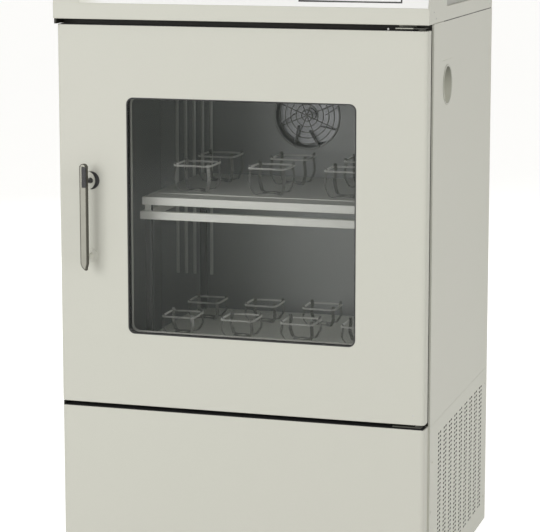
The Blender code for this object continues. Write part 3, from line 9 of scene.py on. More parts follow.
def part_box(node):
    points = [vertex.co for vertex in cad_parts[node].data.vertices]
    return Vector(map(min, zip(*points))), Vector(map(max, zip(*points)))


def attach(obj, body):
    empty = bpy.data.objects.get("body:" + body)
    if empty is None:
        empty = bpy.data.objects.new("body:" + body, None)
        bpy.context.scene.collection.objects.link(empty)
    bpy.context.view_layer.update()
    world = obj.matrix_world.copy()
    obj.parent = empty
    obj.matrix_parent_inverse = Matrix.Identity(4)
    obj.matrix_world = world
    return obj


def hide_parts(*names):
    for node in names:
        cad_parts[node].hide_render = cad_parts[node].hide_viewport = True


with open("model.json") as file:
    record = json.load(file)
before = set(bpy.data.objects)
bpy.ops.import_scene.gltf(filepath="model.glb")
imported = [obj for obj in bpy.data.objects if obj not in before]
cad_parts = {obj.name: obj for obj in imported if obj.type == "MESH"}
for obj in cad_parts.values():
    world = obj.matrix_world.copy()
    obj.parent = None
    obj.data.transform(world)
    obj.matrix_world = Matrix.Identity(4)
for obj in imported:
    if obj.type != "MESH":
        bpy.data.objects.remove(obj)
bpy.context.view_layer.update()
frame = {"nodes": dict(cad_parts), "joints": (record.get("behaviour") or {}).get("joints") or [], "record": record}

scene = bpy.context.scene
nodes = frame["nodes"]
bodyOf = {name: body for body, names in frame["record"]["behaviour"]["bodies"].items() for name in names}
slotOf = {part["node"]: part["material_slot"] for part in frame["record"]["subparts"]}
jointAt = {joint["name"]: joint.get("pos_m") for joint in frame["joints"]}
finishes = {}
past = 0.01  # how far a cutting shape reaches past what it cuts


# Points and outlines
def onAxis(axis, a, b, along):
    return {"X": (along, a, b), "Y": (a, along, b), "Z": (a, b, along)}[axis]


def arcPoints(centre, radius, start, end, steps):
    turns = [math.radians(start + (end - start) * i / steps) for i in range(steps + 1)]
    return [(centre[0] + radius * math.cos(t), centre[1] + radius * math.sin(t)) for t in turns]


def roundedRect(low, high, radius, steps=6):
    outline = []
    corners = (
        (high[0] - radius, high[1] - radius), (low[0] + radius, high[1] - radius),
        (low[0] + radius, low[1] + radius), (high[0] - radius, low[1] + radius),
    )
    for i, centre in enumerate(corners):
        outline += arcPoints(centre, radius, 90 * i, 90 * i + 90, steps)
    return outline


def drawnIn(low, high, inset, radius, steps=6):
    return roundedRect((low[0] + inset, low[1] + inset), (high[0] - inset, high[1] - inset), radius, steps)


def frontRounded(low, high, radius, steps=6):
    # a plan with round corners at the front (low y) only
    left = arcPoints((low[0] + radius, low[1] + radius), radius, 180, 270, steps)
    right = arcPoints((high[0] - radius, low[1] + radius), radius, 270, 360, steps)
    return left + right + [(high[0], high[1]), (low[0], high[1])]


def fourCorners(low, high, inset):
    return [(a, b) for a in (low[0] + inset, high[0] - inset) for b in (low[1] + inset, high[1] - inset)]


def smoothPath(points, steps=6):
    # a Catmull-Rom curve through the points
    points = [Vector(p) for p in points]
    ends = [2 * points[0] - points[1]] + points + [2 * points[-1] - points[-2]]
    made = []
    for a, b, c, d in zip(ends, ends[1:], ends[2:], ends[3:]):
        for i in range(steps):
            t = i / steps
            made.append(0.5 * ((2 * b) + (c - a) * t + (2 * a - 5 * b + 4 * c - d) * t * t
                               + (3 * b - a - 3 * c + d) * t ** 3))
    return made + [points[-1]]


# Building blocks in a bmesh, in the frame's own place
def addBox(bm, low, high):
    verts = bmesh.ops.create_cube(bm, size=1.0)["verts"]
    size, middle = Vector(high) - Vector(low), (Vector(high) + Vector(low)) / 2
    for vert in verts:
        vert.co = Vector(vert.co[i] * size[i] + middle[i] for i in range(3))


def addSkin(bm, rings, closed=True):
    # faces between rings with as many corners each, and over the two ends
    count = len(rings[0])
    for low, high in zip(rings, rings[1:]):
        for i in range(count):
            j = (i + 1) % count
            bm.faces.new([low[i], low[j], high[j], high[i]])
    if closed:
        bm.faces.new(rings[0][::-1])
        bm.faces.new(rings[-1])


def addPrism(bm, outline, axis, start, end):
    rings = [[bm.verts.new(onAxis(axis, a, b, along)) for a, b in outline] for along in (start, end)]
    for ring in rings:
        bm.faces.new(ring)
    addSkin(bm, rings, closed=False)


def addLathe(bm, profile, axis, centre, segments=48):
    # (radius, height) pairs, closed on the axis where a radius is 0
    rings = []
    for radius, height in profile:
        if radius == 0:
            rings.append([bm.verts.new(onAxis(axis, centre[0], centre[1], height))])
            continue
        turns = [2 * math.pi * (i + 0.5) / segments for i in range(segments)]
        spots = [(centre[0] + radius * math.cos(t), centre[1] + radius * math.sin(t)) for t in turns]
        rings.append([bm.verts.new(onAxis(axis, a, b, height)) for a, b in spots])
    if profile[0][0] != 0:
        rings.append(rings[0])
    for low, high in zip(rings, rings[1:]):
        for i in range(segments):
            j = (i + 1) % segments
            face = [low[i % len(low)], low[j % len(low)], high[j % len(high)], high[i % len(high)]]
            bm.faces.new(list(dict.fromkeys(face)))


def addRod(bm, radius, axis, centre, start, end, segments=32):
    addLathe(bm, [(0, start), (radius, start), (radius, end), (0, end)], axis, centre, segments)


def addBands(bm, radii, heights, thick, axis, centre, segments=48):
    # square rings of one size on a shaft
    inner, outer = radii
    for along in heights:
        addLathe(bm, [(inner, along), (outer, along), (outer, along + thick), (inner, along + thick)],
                 axis, centre, segments)


def addPipe(bm, points, radius, sides=12):
    # a round tube along a list of points, with closed ends
    points = [Vector(p) for p in points]
    rings = []
    side = None
    for i, point in enumerate(points):
        ahead = (points[min(i + 1, len(points) - 1)] - points[max(i - 1, 0)]).normalized()
        if side is None:
            side = ahead.orthogonal().normalized()
        side = (side - ahead * side.dot(ahead)).normalized()
        up = ahead.cross(side)
        turns = [2 * math.pi * k / sides for k in range(sides)]
        rings.append([bm.verts.new(point + (side * math.cos(t) + up * math.sin(t)) * radius) for t in turns])
    addSkin(bm, rings)


def shape(add, *values):
    bm = bmesh.new()
    add(bm, *values)
    return bm


# Objects: a raw shape, its cuts and joins, and the finished piece
def rawPiece(name, bm):
    bm.normal_update()
    bmesh.ops.recalc_face_normals(bm, faces=bm.faces[:])
    mesh = bpy.data.meshes.new(name)
    bm.to_mesh(mesh)
    bm.free()
    piece = bpy.data.objects.new(name, mesh)
    scene.collection.objects.link(piece)
    return piece


def newPiece(name, add, *values):
    return rawPiece(name, shape(add, *values))


def remove(piece):
    mesh = piece.data
    bpy.data.objects.remove(piece)
    bpy.data.meshes.remove(mesh)


def applied(piece):
    bpy.context.view_layer.update()
    graph = bpy.context.evaluated_depsgraph_get()
    mesh = bpy.data.meshes.new_from_object(piece.evaluated_get(graph), depsgraph=graph)
    piece.modifiers.clear()
    old = piece.data
    piece.data = mesh
    bpy.data.meshes.remove(old)
    return piece


def combined(piece, operation, solver, other, *values):
    # other is a piece, a bmesh, or a building block with its values
    if callable(other):
        other = shape(other, *values)
    tool = other if isinstance(other, bpy.types.Object) else rawPiece("tool", other)
    boolean = piece.modifiers.new("Boolean", "BOOLEAN")
    boolean.operation = operation
    boolean.solver = solver
    boolean.object = tool
    applied(piece)
    remove(tool)
    return piece


def cut(piece, *other, solver="EXACT"):
    return combined(piece, "DIFFERENCE", solver, *other)


def join(piece, *other, solver="EXACT"):
    return combined(piece, "UNION", solver, *other)


def softEdges(piece, width, segments=2, angle=38):
    bevel = piece.modifiers.new("Bevel", "BEVEL")
    bevel.width = width
    bevel.segments = segments
    bevel.limit_method = "ANGLE"
    bevel.angle_limit = math.radians(angle)
    bevel.use_clamp_overlap = True
    bevel.miter_outer = "MITER_ARC"
    return applied(piece)


def dress(piece, finish, body, stands=None, angle=32):
    piece.data.materials.clear()
    piece.data.materials.append(finishes[finish])
    for face in piece.data.polygons:
        face.material_index = 0
    piece.data.shade_smooth()
    piece.data.set_sharp_from_angle(angle=math.radians(angle))
    # large flat faces keep their own normal beside rounded edges
    normals = piece.modifiers.new("Normals", "WEIGHTED_NORMAL")
    normals.keep_sharp = True
    applied(piece)
    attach(piece, body)
    if stands:
        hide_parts(stands)
    return piece


def repaint(piece, finish, picked):
    # another finish on the faces that are picked
    piece.data.materials.append(finishes[finish])
    for face in piece.data.polygons:
        if picked(face):
            face.material_index = len(piece.data.materials) - 1


def copyOfNode(name, node):
    bm = bmesh.new()
    bm.from_mesh(nodes[node].data)
    bmesh.ops.remove_doubles(bm, verts=bm.verts[:], dist=1e-5)
    bmesh.ops.dissolve_limit(bm, angle_limit=math.radians(1), verts=bm.verts[:], edges=bm.edges[:])
    return rawPiece(name, bm)


def refined(node, name, finish, width=0.0008, segments=2):
    # the CAD node's own shape with its edges rounded over
    piece = softEdges(copyOfNode(name, node), width, segments)
    return dress(piece, finish, bodyOf[node], node)


def framePiece(name, outer, hole, start, end):
    # a flat frame between two outlines
    piece = newPiece(name, addPrism, outer, "Y", start, end)
    return cut(piece, addPrism, hole, "Y", start - past, end + past)


def foldedSheet(name, low, high, corner, sheet):
    # a front with round upright edges, folded back all round and open behind
    skin = newPiece(name, addPrism, frontRounded(low, high, corner), "Z", low.z, high.z)
    inner = frontRounded((low.x + sheet, low.y + sheet), (high.x - sheet, high.y + past), corner - sheet)
    return cut(skin, addPrism, inner, "Z", low.z + sheet, high.z - sheet)


# Geometry Nodes
def newTree(name, inputs):
    tree = bpy.data.node_groups.new(name, "GeometryNodeTree")
    tree.interface.new_socket("Geometry", in_out="OUTPUT", socket_type="NodeSocketGeometry")
    for label, kind in inputs.items():
        tree.interface.new_socket(label, in_out="INPUT", socket_type="NodeSocket" + kind)
    start = tree.nodes.new("NodeGroupInput")
    end = tree.nodes.new("NodeGroupOutput")
    return tree, start.outputs, end.inputs[0]


def treeNode(tree, kind, values=(), **settings):
    made = tree.nodes.new(kind)
    for key, value in settings.items():
        setattr(made, key, value)
    for label, value in dict(values).items():
        if isinstance(value, bpy.types.NodeSocket):
            tree.links.new(value, made.inputs[label])
        else:
            made.inputs[label].default_value = value
    return made


def treeMath(tree, operation, a, b):
    return treeNode(tree, "ShaderNodeMath", {0: a, 1: b}, operation=operation).outputs[0]


def copiesOn(tree, given, points):
    model = treeNode(tree, "GeometryNodeObjectInfo", {"Object": given["Copy"], "As Instance": True})
    placed = treeNode(tree, "GeometryNodeInstanceOnPoints", {
        "Points": points, "Instance": model.outputs["Geometry"], "Rotation": given["Copy Turn"],
    })
    return placed.outputs["Instances"]


def endTree(tree, given, copies, result):
    solid = treeNode(tree, "GeometryNodeRealizeInstances", {"Geometry": copies})
    painted = treeNode(tree, "GeometryNodeSetMaterial", {
        "Geometry": solid.outputs["Geometry"], "Material": given["Finish"],
    })
    tree.links.new(painted.outputs["Geometry"], result)
    return tree


def makeGridTree():
    # copies of one shape in rows and columns
    tree, given, result = newTree("copiesInRows", {
        "Columns": "Int", "Rows": "Int", "Column Pitch": "Float", "Row Pitch": "Float",
        "Turn": "Rotation", "Place": "Vector", "Copy Turn": "Rotation", "Copy": "Object",
        "Finish": "Material",
    })
    gaps = [treeMath(tree, "SUBTRACT", given[kind], 1.0) for kind in ("Columns", "Rows")]
    pitches = [given[kind] for kind in ("Column Pitch", "Row Pitch")]
    size = [treeMath(tree, "MULTIPLY", gap, pitch) for gap, pitch in zip(gaps, pitches)]
    grid = treeNode(tree, "GeometryNodeMeshGrid", {
        "Size X": size[0], "Size Y": size[1], "Vertices X": given["Columns"], "Vertices Y": given["Rows"],
    })
    moved = treeNode(tree, "GeometryNodeTransform", {
        "Geometry": copiesOn(tree, given, grid.outputs["Mesh"]), "Rotation": given["Turn"],
        "Translation": given["Place"],
    })
    return endTree(tree, given, moved.outputs["Geometry"], result)


def makeSpotTree():
    # copies of one shape on the points of the piece's own mesh
    tree, given, result = newTree("copiesOnSpots", {
        "Spots": "Geometry", "Copy Turn": "Rotation", "Copy": "Object", "Finish": "Material",
    })
    return endTree(tree, given, copiesOn(tree, given, given["Spots"]), result)


def grown(name, tree, model, finish, values=(), spots=()):
    # runs a tree once and keeps its plain mesh; the model that it copies is removed
    mesh = bpy.data.meshes.new(name)
    mesh.from_pydata([tuple(spot) for spot in spots], [], [])
    piece = bpy.data.objects.new(name, mesh)
    scene.collection.objects.link(piece)
    modifier = piece.modifiers.new("Copies", "NODES")
    modifier.node_group = tree
    wanted = dict(values, Copy=model, Finish=finishes[finish])
    for item in tree.interface.items_tree:
        if item.in_out == "INPUT" and item.name in wanted:
            modifier[item.identifier] = wanted[item.name]
    applied(piece)
    remove(model)
    return piece


def inRows(columns, rows, columnPitch, rowPitch, place, turn=Euler(), copyTurn=Euler()):
    return {
        "Columns": columns, "Rows": rows, "Column Pitch": columnPitch, "Row Pitch": rowPitch,
        "Place": place, "Turn": turn, "Copy Turn": copyTurn,
    }


gridTree = makeGridTree()
spotTree = makeSpotTree()
print("helpers ready")


# Finishes
def newMaterial(name, plain):
    made = bpy.data.materials.new(name)
    made.use_nodes = True
    tree = made.node_tree
    shader = tree.nodes["Principled BSDF"]
    for label, value in plain.items():
        shader.inputs[label].default_value = value
    finishes[name] = made
    return tree, shader, treeNode(tree, "ShaderNodeTexCoord").outputs["Object"]


def noise(tree, place, scale, detail=2.0):
    values = {"Vector": place, "Scale": scale, "Detail": detail}
    return treeNode(tree, "ShaderNodeTexNoise", values).outputs["Fac"]


def ranged(tree, value, start, end, low=0.0, high=1.0, **settings):
    return treeNode(tree, "ShaderNodeMapRange", {
        "Value": value, "From Min": start, "From Max": end, "To Min": low, "To Max": high,
    }, **settings).outputs[0]


def ramped(tree, value, first, last, shader):
    ramp = treeNode(tree, "ShaderNodeValToRGB", {"Fac": value})
    ramp.color_ramp.elements[0].color = (*first, 1)
    ramp.color_ramp.elements[1].color = (*last, 1)
    tree.links.new(ramp.outputs[0], shader.inputs["Base Color"])


def bumped(tree, height, strength, distance, shader):
    bump = treeNode(tree, "ShaderNodeBump", {"Height": height, "Strength": strength, "Distance": distance})
    tree.links.new(bump.outputs[0], shader.inputs["Normal"])


def newFinish(name, look):
    tree, shader, place = newMaterial(name, {
        "Metallic": look.get("metal", 0.0), "Specular IOR Level": look.get("shine", 0.5),
        "Coat Weight": look.get("coat", 0.0), "Coat Roughness": 0.15,
    })
    stretch = look.get("stretch", (1, 1, 1))
    stretched = treeNode(tree, "ShaderNodeMapping", {"Vector": place, "Scale": stretch})
    patches = noise(tree, place, look.get("patchScale", 3.0), 3.0)
    grain = noise(tree, stretched.outputs[0], look.get("grainScale", 600.0), 4.0)
    first = look["colour"]
    second = look.get("second", tuple(c * 0.93 for c in first))
    mixed = treeNode(tree, "ShaderNodeMix", {"Factor": patches}, data_type="RGBA")
    # the Mix node has one A and B pair for each data type, so the colour pair is set by its type
    colourA, colourB = [socket for socket in mixed.inputs if socket.type == "RGBA"]
    colourA.default_value, colourB.default_value = (*first, 1), (*second, 1)
    colour = next(socket for socket in mixed.outputs if socket.type == "RGBA")
    fleck = look.get("fleck", 0.02)
    flecked = treeNode(tree, "ShaderNodeHueSaturation", {
        "Color": colour, "Value": ranged(tree, grain, 0.3, 0.7, 1 - fleck, 1 + fleck),
    })
    tree.links.new(flecked.outputs[0], shader.inputs["Base Color"])
    rough, spread = look.get("rough", 0.45), look.get("roughSpread", 0.06)
    roughness = ranged(tree, grain, 0.3, 0.7, rough - spread, rough + spread)
    tree.links.new(roughness, shader.inputs["Roughness"])
    bumped(tree, grain, look.get("bump", 0.08), look.get("relief", 0.0006), shader)


looks = {
    "creamPaint": {
        "colour": (0.600, 0.607, 0.533), "second": (0.610, 0.602, 0.543), "rough": 0.52,
        "patchScale": 1.6, "grainScale": 420.0, "bump": 0.05, "fleck": 0.008, "shine": 0.25,
    },
    "creamInner": {"colour": (0.60, 0.60, 0.54), "rough": 0.5, "grainScale": 300.0, "fleck": 0.01},
    "baseSteel": {
        "colour": (0.10, 0.10, 0.10), "second": (0.14, 0.135, 0.13), "rough": 0.55, "bump": 0.2,
        "grainScale": 220.0, "fleck": 0.06,
    },
    "foam": {
        "colour": (0.72, 0.60, 0.36), "second": (0.60, 0.50, 0.30), "rough": 0.9, "grainScale": 160.0,
        "bump": 0.7, "relief": 0.002, "fleck": 0.1,
    },
    "linerSteel": {
        "colour": (0.42, 0.43, 0.42), "second": (0.36, 0.37, 0.36), "rough": 0.42, "metal": 0.45,
        "stretch": (1, 1, 40), "grainScale": 60.0, "bump": 0.03, "fleck": 0.05, "roughSpread": 0.08,
    },
    "jambDark": {"colour": (0.020, 0.019, 0.013), "rough": 0.6, "grainScale": 700.0, "bump": 0.12},
    "hoodSteel": {
        "colour": (0.86, 0.88, 0.83), "rough": 0.35, "metal": 0.20, "grainScale": 200.0, "fleck": 0.04,
    },
    "gripPlastic": {
        "colour": (0.50, 0.50, 0.44), "second": (0.47, 0.47, 0.41), "rough": 0.48, "grainScale": 900.0,
        "bump": 0.15, "fleck": 0.03,
    },
    "keyRubber": {"colour": (0.42, 0.45, 0.50), "rough": 0.55, "grainScale": 900.0, "bump": 0.12},
    "blackRubber": {
        "colour": (0.018, 0.018, 0.018), "second": (0.03, 0.03, 0.03), "rough": 0.62,
        "grainScale": 500.0, "bump": 0.15, "fleck": 0.1,
    },
    "greyGasket": {"colour": (0.30, 0.30, 0.29), "rough": 0.6, "grainScale": 400.0, "bump": 0.12},
    "hingeSteel": {
        "colour": (0.30, 0.30, 0.26), "metal": 0.6, "stretch": (1, 30, 1), "grainScale": 120.0, "fleck": 0.05,
    },
    "hingeBlack": {
        "colour": (0.05, 0.05, 0.04), "rough": 0.5, "metal": 0.3, "grainScale": 200.0, "bump": 0.1,
    },
    "handleMetal": {
        "colour": (0.285, 0.28, 0.24), "second": (0.245, 0.24, 0.205), "rough": 0.36, "metal": 0.60,
        "stretch": (30, 30, 1), "grainScale": 90.0, "bump": 0.05, "fleck": 0.05, "patchScale": 40.0,
    },
    # painted shade for the handle bar's sides and top
    "handleSide": {
        "colour": (0.075, 0.072, 0.055), "rough": 0.4, "metal": 0.5, "grainScale": 90.0, "bump": 0.05,
    },
    # painted shade for the floor of the head's side pockets
    "pocketGrey": {"colour": (0.40, 0.40, 0.36), "rough": 0.5, "grainScale": 700.0, "bump": 0.12},
    # painted shade for the walls of the vent slots
    "ventEdge": {"colour": (0.030, 0.029, 0.026), "rough": 0.6, "grainScale": 500.0},
    "rackDark": {"colour": (0.10, 0.10, 0.095), "rough": 0.5, "metal": 0.3, "grainScale": 300.0},
    "paneSpacer": {"colour": (0.60, 0.60, 0.56), "rough": 0.5, "grainScale": 300.0},
    "blackPlastic": {
        "colour": (0.016, 0.016, 0.017), "second": (0.03, 0.03, 0.03), "rough": 0.36,
        "grainScale": 900.0, "bump": 0.15, "fleck": 0.08,
    },
    "castIron": {
        "colour": (0.26, 0.27, 0.28), "second": (0.20, 0.21, 0.22), "rough": 0.62, "metal": 0.4,
        "grainScale": 350.0, "bump": 0.5, "relief": 0.0012, "fleck": 0.08,
    },
    "groundSteel": {
        "colour": (0.60, 0.61, 0.62), "rough": 0.26, "metal": 1.0, "grainScale": 260.0,
        "bump": 0.03, "fleck": 0.04, "stretch": (1, 1, 12),
    },
    "motorEnamel": {
        "colour": (0.05, 0.07, 0.09), "second": (0.07, 0.09, 0.11), "rough": 0.42, "grainScale": 260.0,
        "bump": 0.2, "fleck": 0.06,
    },
    "platformAlloy": {
        "colour": (0.66, 0.67, 0.64), "second": (0.58, 0.59, 0.57), "rough": 0.38, "metal": 0.75,
        "stretch": (1, 40, 40), "grainScale": 60.0, "bump": 0.05, "fleck": 0.05,
    },
    "deckSteel": {
        "colour": (0.90, 0.91, 0.84), "second": (0.85, 0.86, 0.80), "rough": 0.40, "metal": 0.10,
        "stretch": (1, 50, 50), "grainScale": 50.0, "bump": 0.04, "fleck": 0.04,
    },
    "springSteel": {
        "colour": (0.40, 0.40, 0.37), "second": (0.33, 0.33, 0.31), "rough": 0.30, "metal": 0.6,
        "grainScale": 300.0, "bump": 0.04, "fleck": 0.05,
    },
    # a lit copy of spring steel, near white: painted highlight on the coiled wires
    "springBright": {"colour": (0.97, 0.97, 0.93), "rough": 0.30, "grainScale": 300.0},
    "fanAlloy": {"colour": (0.58, 0.59, 0.60), "rough": 0.4, "metal": 0.9, "grainScale": 200.0},
    "heaterSheath": {
        "colour": (0.20, 0.17, 0.15), "second": (0.30, 0.22, 0.17), "rough": 0.5, "metal": 0.8,
        "patchScale": 30.0, "grainScale": 300.0, "bump": 0.2, "fleck": 0.1,
    },
    "finAlloy": {"colour": (0.66, 0.68, 0.69), "rough": 0.36, "metal": 0.95, "grainScale": 200.0},
    "condenserFins": {
        "colour": (0.16, 0.17, 0.18), "second": (0.22, 0.22, 0.22), "rough": 0.5, "metal": 0.5,
        "grainScale": 260.0, "bump": 0.15,
    },
    "copper": {
        "colour": (0.60, 0.28, 0.16), "second": (0.42, 0.20, 0.12), "rough": 0.34, "metal": 1.0,
        "patchScale": 25.0, "grainScale": 200.0, "bump": 0.06,
    },
    "compressorBlack": {
        "colour": (0.012, 0.012, 0.012), "second": (0.02, 0.02, 0.02), "rough": 0.3, "coat": 0.4,
        "grainScale": 160.0, "bump": 0.12,
    },
    "zincPlate": {
        "colour": (0.55, 0.56, 0.57), "second": (0.48, 0.47, 0.44), "rough": 0.38, "metal": 0.95,
        "patchScale": 60.0, "grainScale": 400.0, "fleck": 0.05,
    },
    "wheelRubber": {
        "colour": (0.035, 0.035, 0.036), "second": (0.06, 0.058, 0.055), "rough": 0.66,
        "grainScale": 500.0, "bump": 0.2, "fleck": 0.12,
    },
    "screwSteel": {
        "colour": (0.56, 0.56, 0.54), "rough": 0.32, "metal": 0.95, "grainScale": 800.0, "bump": 0.1,
    },
    "shadowBlack": {"colour": (0.02, 0.02, 0.018), "rough": 0.7, "grainScale": 300.0, "fleck": 0.1},
    "markWhite": {"colour": (0.78, 0.78, 0.76), "rough": 0.5, "grainScale": 900.0},
}
for name, look in looks.items():
    newFinish(name, look)


def glassFinish(name, tint, alpha, coat):
    tree, shader, place = newMaterial(name, {
        "Alpha": alpha, "IOR": 1.52, "Coat Weight": coat, "Coat Roughness": 0.02,
    })
    smears = noise(tree, place, 6.0, 5.0)
    tree.links.new(ranged(tree, smears, 0.35, 0.75, 0.02, 0.10), shader.inputs["Roughness"])
    ramped(tree, smears, tint, [c * 1.35 for c in tint], shader)


glassFinish("glassFace", (0.040, 0.045, 0.040), 0.16, 0.6)
glassFinish("glassBody", (0.035, 0.050, 0.042), 0.04, 0.0)

# finishes that change from a first to a last colour along a direction
fades = {
    "gripHollow": {  # painted shade: darker towards the top and the front of the hollow
        "along": (0, 0.6, -1), "start": -1.44005, "end": -1.35005, "first": (0.17, 0.17, 0.142),
        "last": (0.66, 0.66, 0.58), "grainScale": 900.0, "rough": (0.42, 0.56),
    },
    "panelFilm": {  # a white film whose left end fades into the paint: painted shade over its left end
        "start": -0.392, "end": -0.325, "first": (0.66, 0.66, 0.59), "last": (0.84, 0.84, 0.83),
        "grainScale": 1500.0, "rough": (0.24, 0.38), "bump": 0.05, "kind": "SMOOTHSTEP",
    },
    "displayScreen": {  # pale, and dark at its left end
        "start": 0.150, "end": 0.205, "first": (0.05, 0.055, 0.065), "last": (0.80, 0.81, 0.82),
        "grainScale": 60.0, "rough": (0.10, 0.20), "coat": 0.5,
    },
    "displayField": {  # grey at its left end and white at its right
        "start": 0.150, "end": 0.275, "first": (0.10, 0.105, 0.115), "last": (0.83, 0.83, 0.83),
        "grainScale": 900.0, "rough": (0.2, 0.34),
    },
}
for name, look in fades.items():
    tree, shader, place = newMaterial(name, {"Coat Weight": look.get("coat", 0.0)})
    along = treeNode(tree, "ShaderNodeVectorMath", {0: place, 1: look.get("along", (1, 0, 0))},
                     operation="DOT_PRODUCT").outputs["Value"]
    fade = ranged(tree, along, look["start"], look["end"], interpolation_type=look.get("kind", "LINEAR"))
    ramped(tree, fade, look["first"], look["last"], shader)
    grain = noise(tree, place, look["grainScale"])
    tree.links.new(ranged(tree, grain, 0.0, 1.0, *look["rough"]), shader.inputs["Roughness"])
    if "bump" in look:
        bumped(tree, grain, look["bump"], 0.0004, shader)


def boardFinish():
    # green board with copper tracks under its lacquer
    tree, shader, place = newMaterial("circuitBoard", {"Coat Weight": 0.4, "Roughness": 0.4})
    tracks = treeNode(tree, "ShaderNodeTexBrick", {
        "Vector": place, "Scale": 90.0, "Color1": (0.012, 0.10, 0.045, 1), "Color2": (0.016, 0.13, 0.06, 1),
        "Mortar": (0.05, 0.24, 0.10, 1), "Mortar Size": 0.06,
    })
    tree.links.new(tracks.outputs["Color"], shader.inputs["Base Color"])
    bumped(tree, tracks.outputs["Fac"], 0.2, 0.0003, shader)


boardFinish()
# the slots whose finish doesn't have the slot's own name
slotFinish = {
    "stainless": "linerSteel", "jamb_plastic": "jambDark", "door_liner": "creamInner",
    "cast_drive": "castIron", "display_glass": "displayScreen", "tinted_glass": "glassBody",
    "handle_alloy": "handleMetal", "deck_sheet": "deckSteel", "exchanger_fins": "finAlloy",
    "fan_plastic": "blackPlastic", "inlet_plastic": "blackPlastic",
}
for name, node in nodes.items():
    first, *others = slotOf[name].split("_")
    finish = slotFinish.get(slotOf[name], first + "".join(word.title() for word in others))
    node.data.materials.clear()
    node.data.materials.append(finishes[finish])
print("finishes ready:", len(finishes))


# Camera, light and floor
def makeCamera():
    view = {
        "place": (1.5673, -5.2681, 1.7951), "yaw": 0.29334, "pitch": 0.15204, "roll": -0.0005,
        "lens": 145.85, "sensor": 36.0, "shiftY": -0.1000,
    }
    data = bpy.data.cameras.new("camera")
    data.lens = view["lens"]
    data.sensor_width = view["sensor"]
    data.shift_y = view["shiftY"]
    camera = bpy.data.objects.new("camera", data)
    scene.collection.objects.link(camera)
    turn = Matrix.Rotation(view["yaw"], 4, "Z") @ Matrix.Rotation(math.pi / 2 - view["pitch"], 4, "X")
    camera.matrix_world = Matrix.Translation(view["place"]) @ turn @ Matrix.Rotation(view["roll"], 4, "Z")
    scene.camera = camera


def makeLights():
    lamps = {
        "keyLamp": {"place": (-3.6, -7.6, 3.3), "size": 4.5, "power": 300.0},
        "sideLamp": {"place": (6.8, -3.0, 1.9), "size": 4.0, "power": 120.0},
        "backLamp": {"place": (-3.0, 4.5, 3.4), "size": 3.0, "power": 90.0},
    }
    aim = Vector((0, 0, 1.0))
    for name, lamp in lamps.items():
        data = bpy.data.lights.new(name, "AREA")
        data.energy = lamp["power"]
        data.size = lamp["size"]
        made = bpy.data.objects.new(name, data)
        made.location = lamp["place"]
        made.visible_camera = False
        made.rotation_euler = (aim - Vector(lamp["place"])).to_track_quat("-Z", "Y").to_euler()
        scene.collection.objects.link(made)


def seenRays(tree):
    # 1 for what the camera, a reflection or a pane shows, and 0 for what lights the object
    path = treeNode(tree, "ShaderNodeLightPath")
    seen = treeMath(tree, "MAXIMUM", path.outputs["Is Camera Ray"], path.outputs["Is Glossy Ray"])
    return treeMath(tree, "MAXIMUM", seen, path.outputs["Is Transmission Ray"])


def makeWorld():
    sky = {"light": 0.53, "seen": 0.955}
    world = bpy.data.worlds.new("studio")
    scene.world = world
    world.use_nodes = True
    tree = world.node_tree
    background = tree.nodes["Background"]
    background.inputs["Color"].default_value = (1.0, 0.99, 0.97, 1)
    strength = ranged(tree, seenRays(tree), 0.0, 1.0, sky["light"], sky["seen"])
    tree.links.new(strength, background.inputs["Strength"])


def makeFloor():
    floor = {"radius": 90.0, "colour": (0.80, 0.80, 0.79), "lift": 0.50}
    bm = bmesh.new()
    bmesh.ops.create_circle(bm, cap_ends=True, segments=96, radius=floor["radius"])
    plane = rawPiece("floor", bm)
    if plane.data.polygons[0].normal.z < 0:
        plane.data.flip_normals()
    tree, shader, _ = newMaterial("floorPale", {
        "Base Color": (*floor["colour"], 1), "Roughness": 0.8, "Emission Color": (1, 1, 0.99, 1),
    })
    lift = treeMath(tree, "MULTIPLY", seenRays(tree), floor["lift"])
    tree.links.new(lift, shader.inputs["Emission Strength"])
    plane.data.materials.append(finishes["floorPale"])


makeCamera()
makeLights()
makeWorld()
makeFloor()
scene.view_settings.view_transform = "Standard"
print("camera, light and floor ready")


# Screws and other small fasteners
def panScrew(name, radius, height):
    # a round head with a cross recess, standing on +Z at the origin
    profile = [(0, -0.0004), (radius, -0.0004), (radius, height * 0.35), (radius * 0.86, height * 0.75),
               (radius * 0.55, height), (0, height)]
    head = newPiece(name, addLathe, profile, "Z", (0, 0), 16)
    reach, half = radius * 0.55, 0.0007
    cut(head, addBox, (-reach, -half, height * 0.4), (reach, half, height * 2))
    return cut(head, addBox, (-half, -reach, height * 0.4), (half, reach, height * 2))


def hexBolt(name, radius, height):
    washer = [(0, -0.0005), (radius * 1.25, -0.0005), (radius * 1.25, height * 0.18), (0, height * 0.18)]
    head = [(0, height * 0.1), (radius, height * 0.1), (radius, height * 0.9), (radius * 0.85, height),
            (0, height)]
    return join(newPiece(name, addLathe, head, "Z", (0, 0), 6), addLathe, washer, "Z", (0, 0), 20)


quarter = math.pi / 2
facing = {
    "up": Euler((0, 0, 0)), "front": Euler((quarter, 0, 0)),
    "back": Euler((-quarter, 0, 0)), "right": Euler((0, quarter, 0)), "left": Euler((0, -quarter, 0)),
}


def fasteners(name, spots, towards, radius=0.0035, height=0.0018, body="cabinet", make=panScrew,
              finish="screwSteel"):
    model = make("model", radius, height)
    piece = grown(name, spotTree, model, finish, {"Copy Turn": facing[towards]}, spots)
    return dress(piece, finish, body)


def block(name, low, high, finish, body="cabinet", edge=0.0):
    # a plain strip, cap or pad
    piece = newPiece(name, addBox, low, high)
    if edge:
        softEdges(piece, edge)
    return dress(piece, finish, body)


def mirrored(side, near, far):
    # an extent along x on the right (1) or on the left (-1)
    return sorted((side * near, side * far))


def middleOf(node, a, b):
    low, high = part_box(node)
    return ((low[a] + high[a]) / 2, (low[b] + high[b]) / 2)


def frontOf(node):
    low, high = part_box(node)
    return (low.x, low.z), (high.x, high.z)


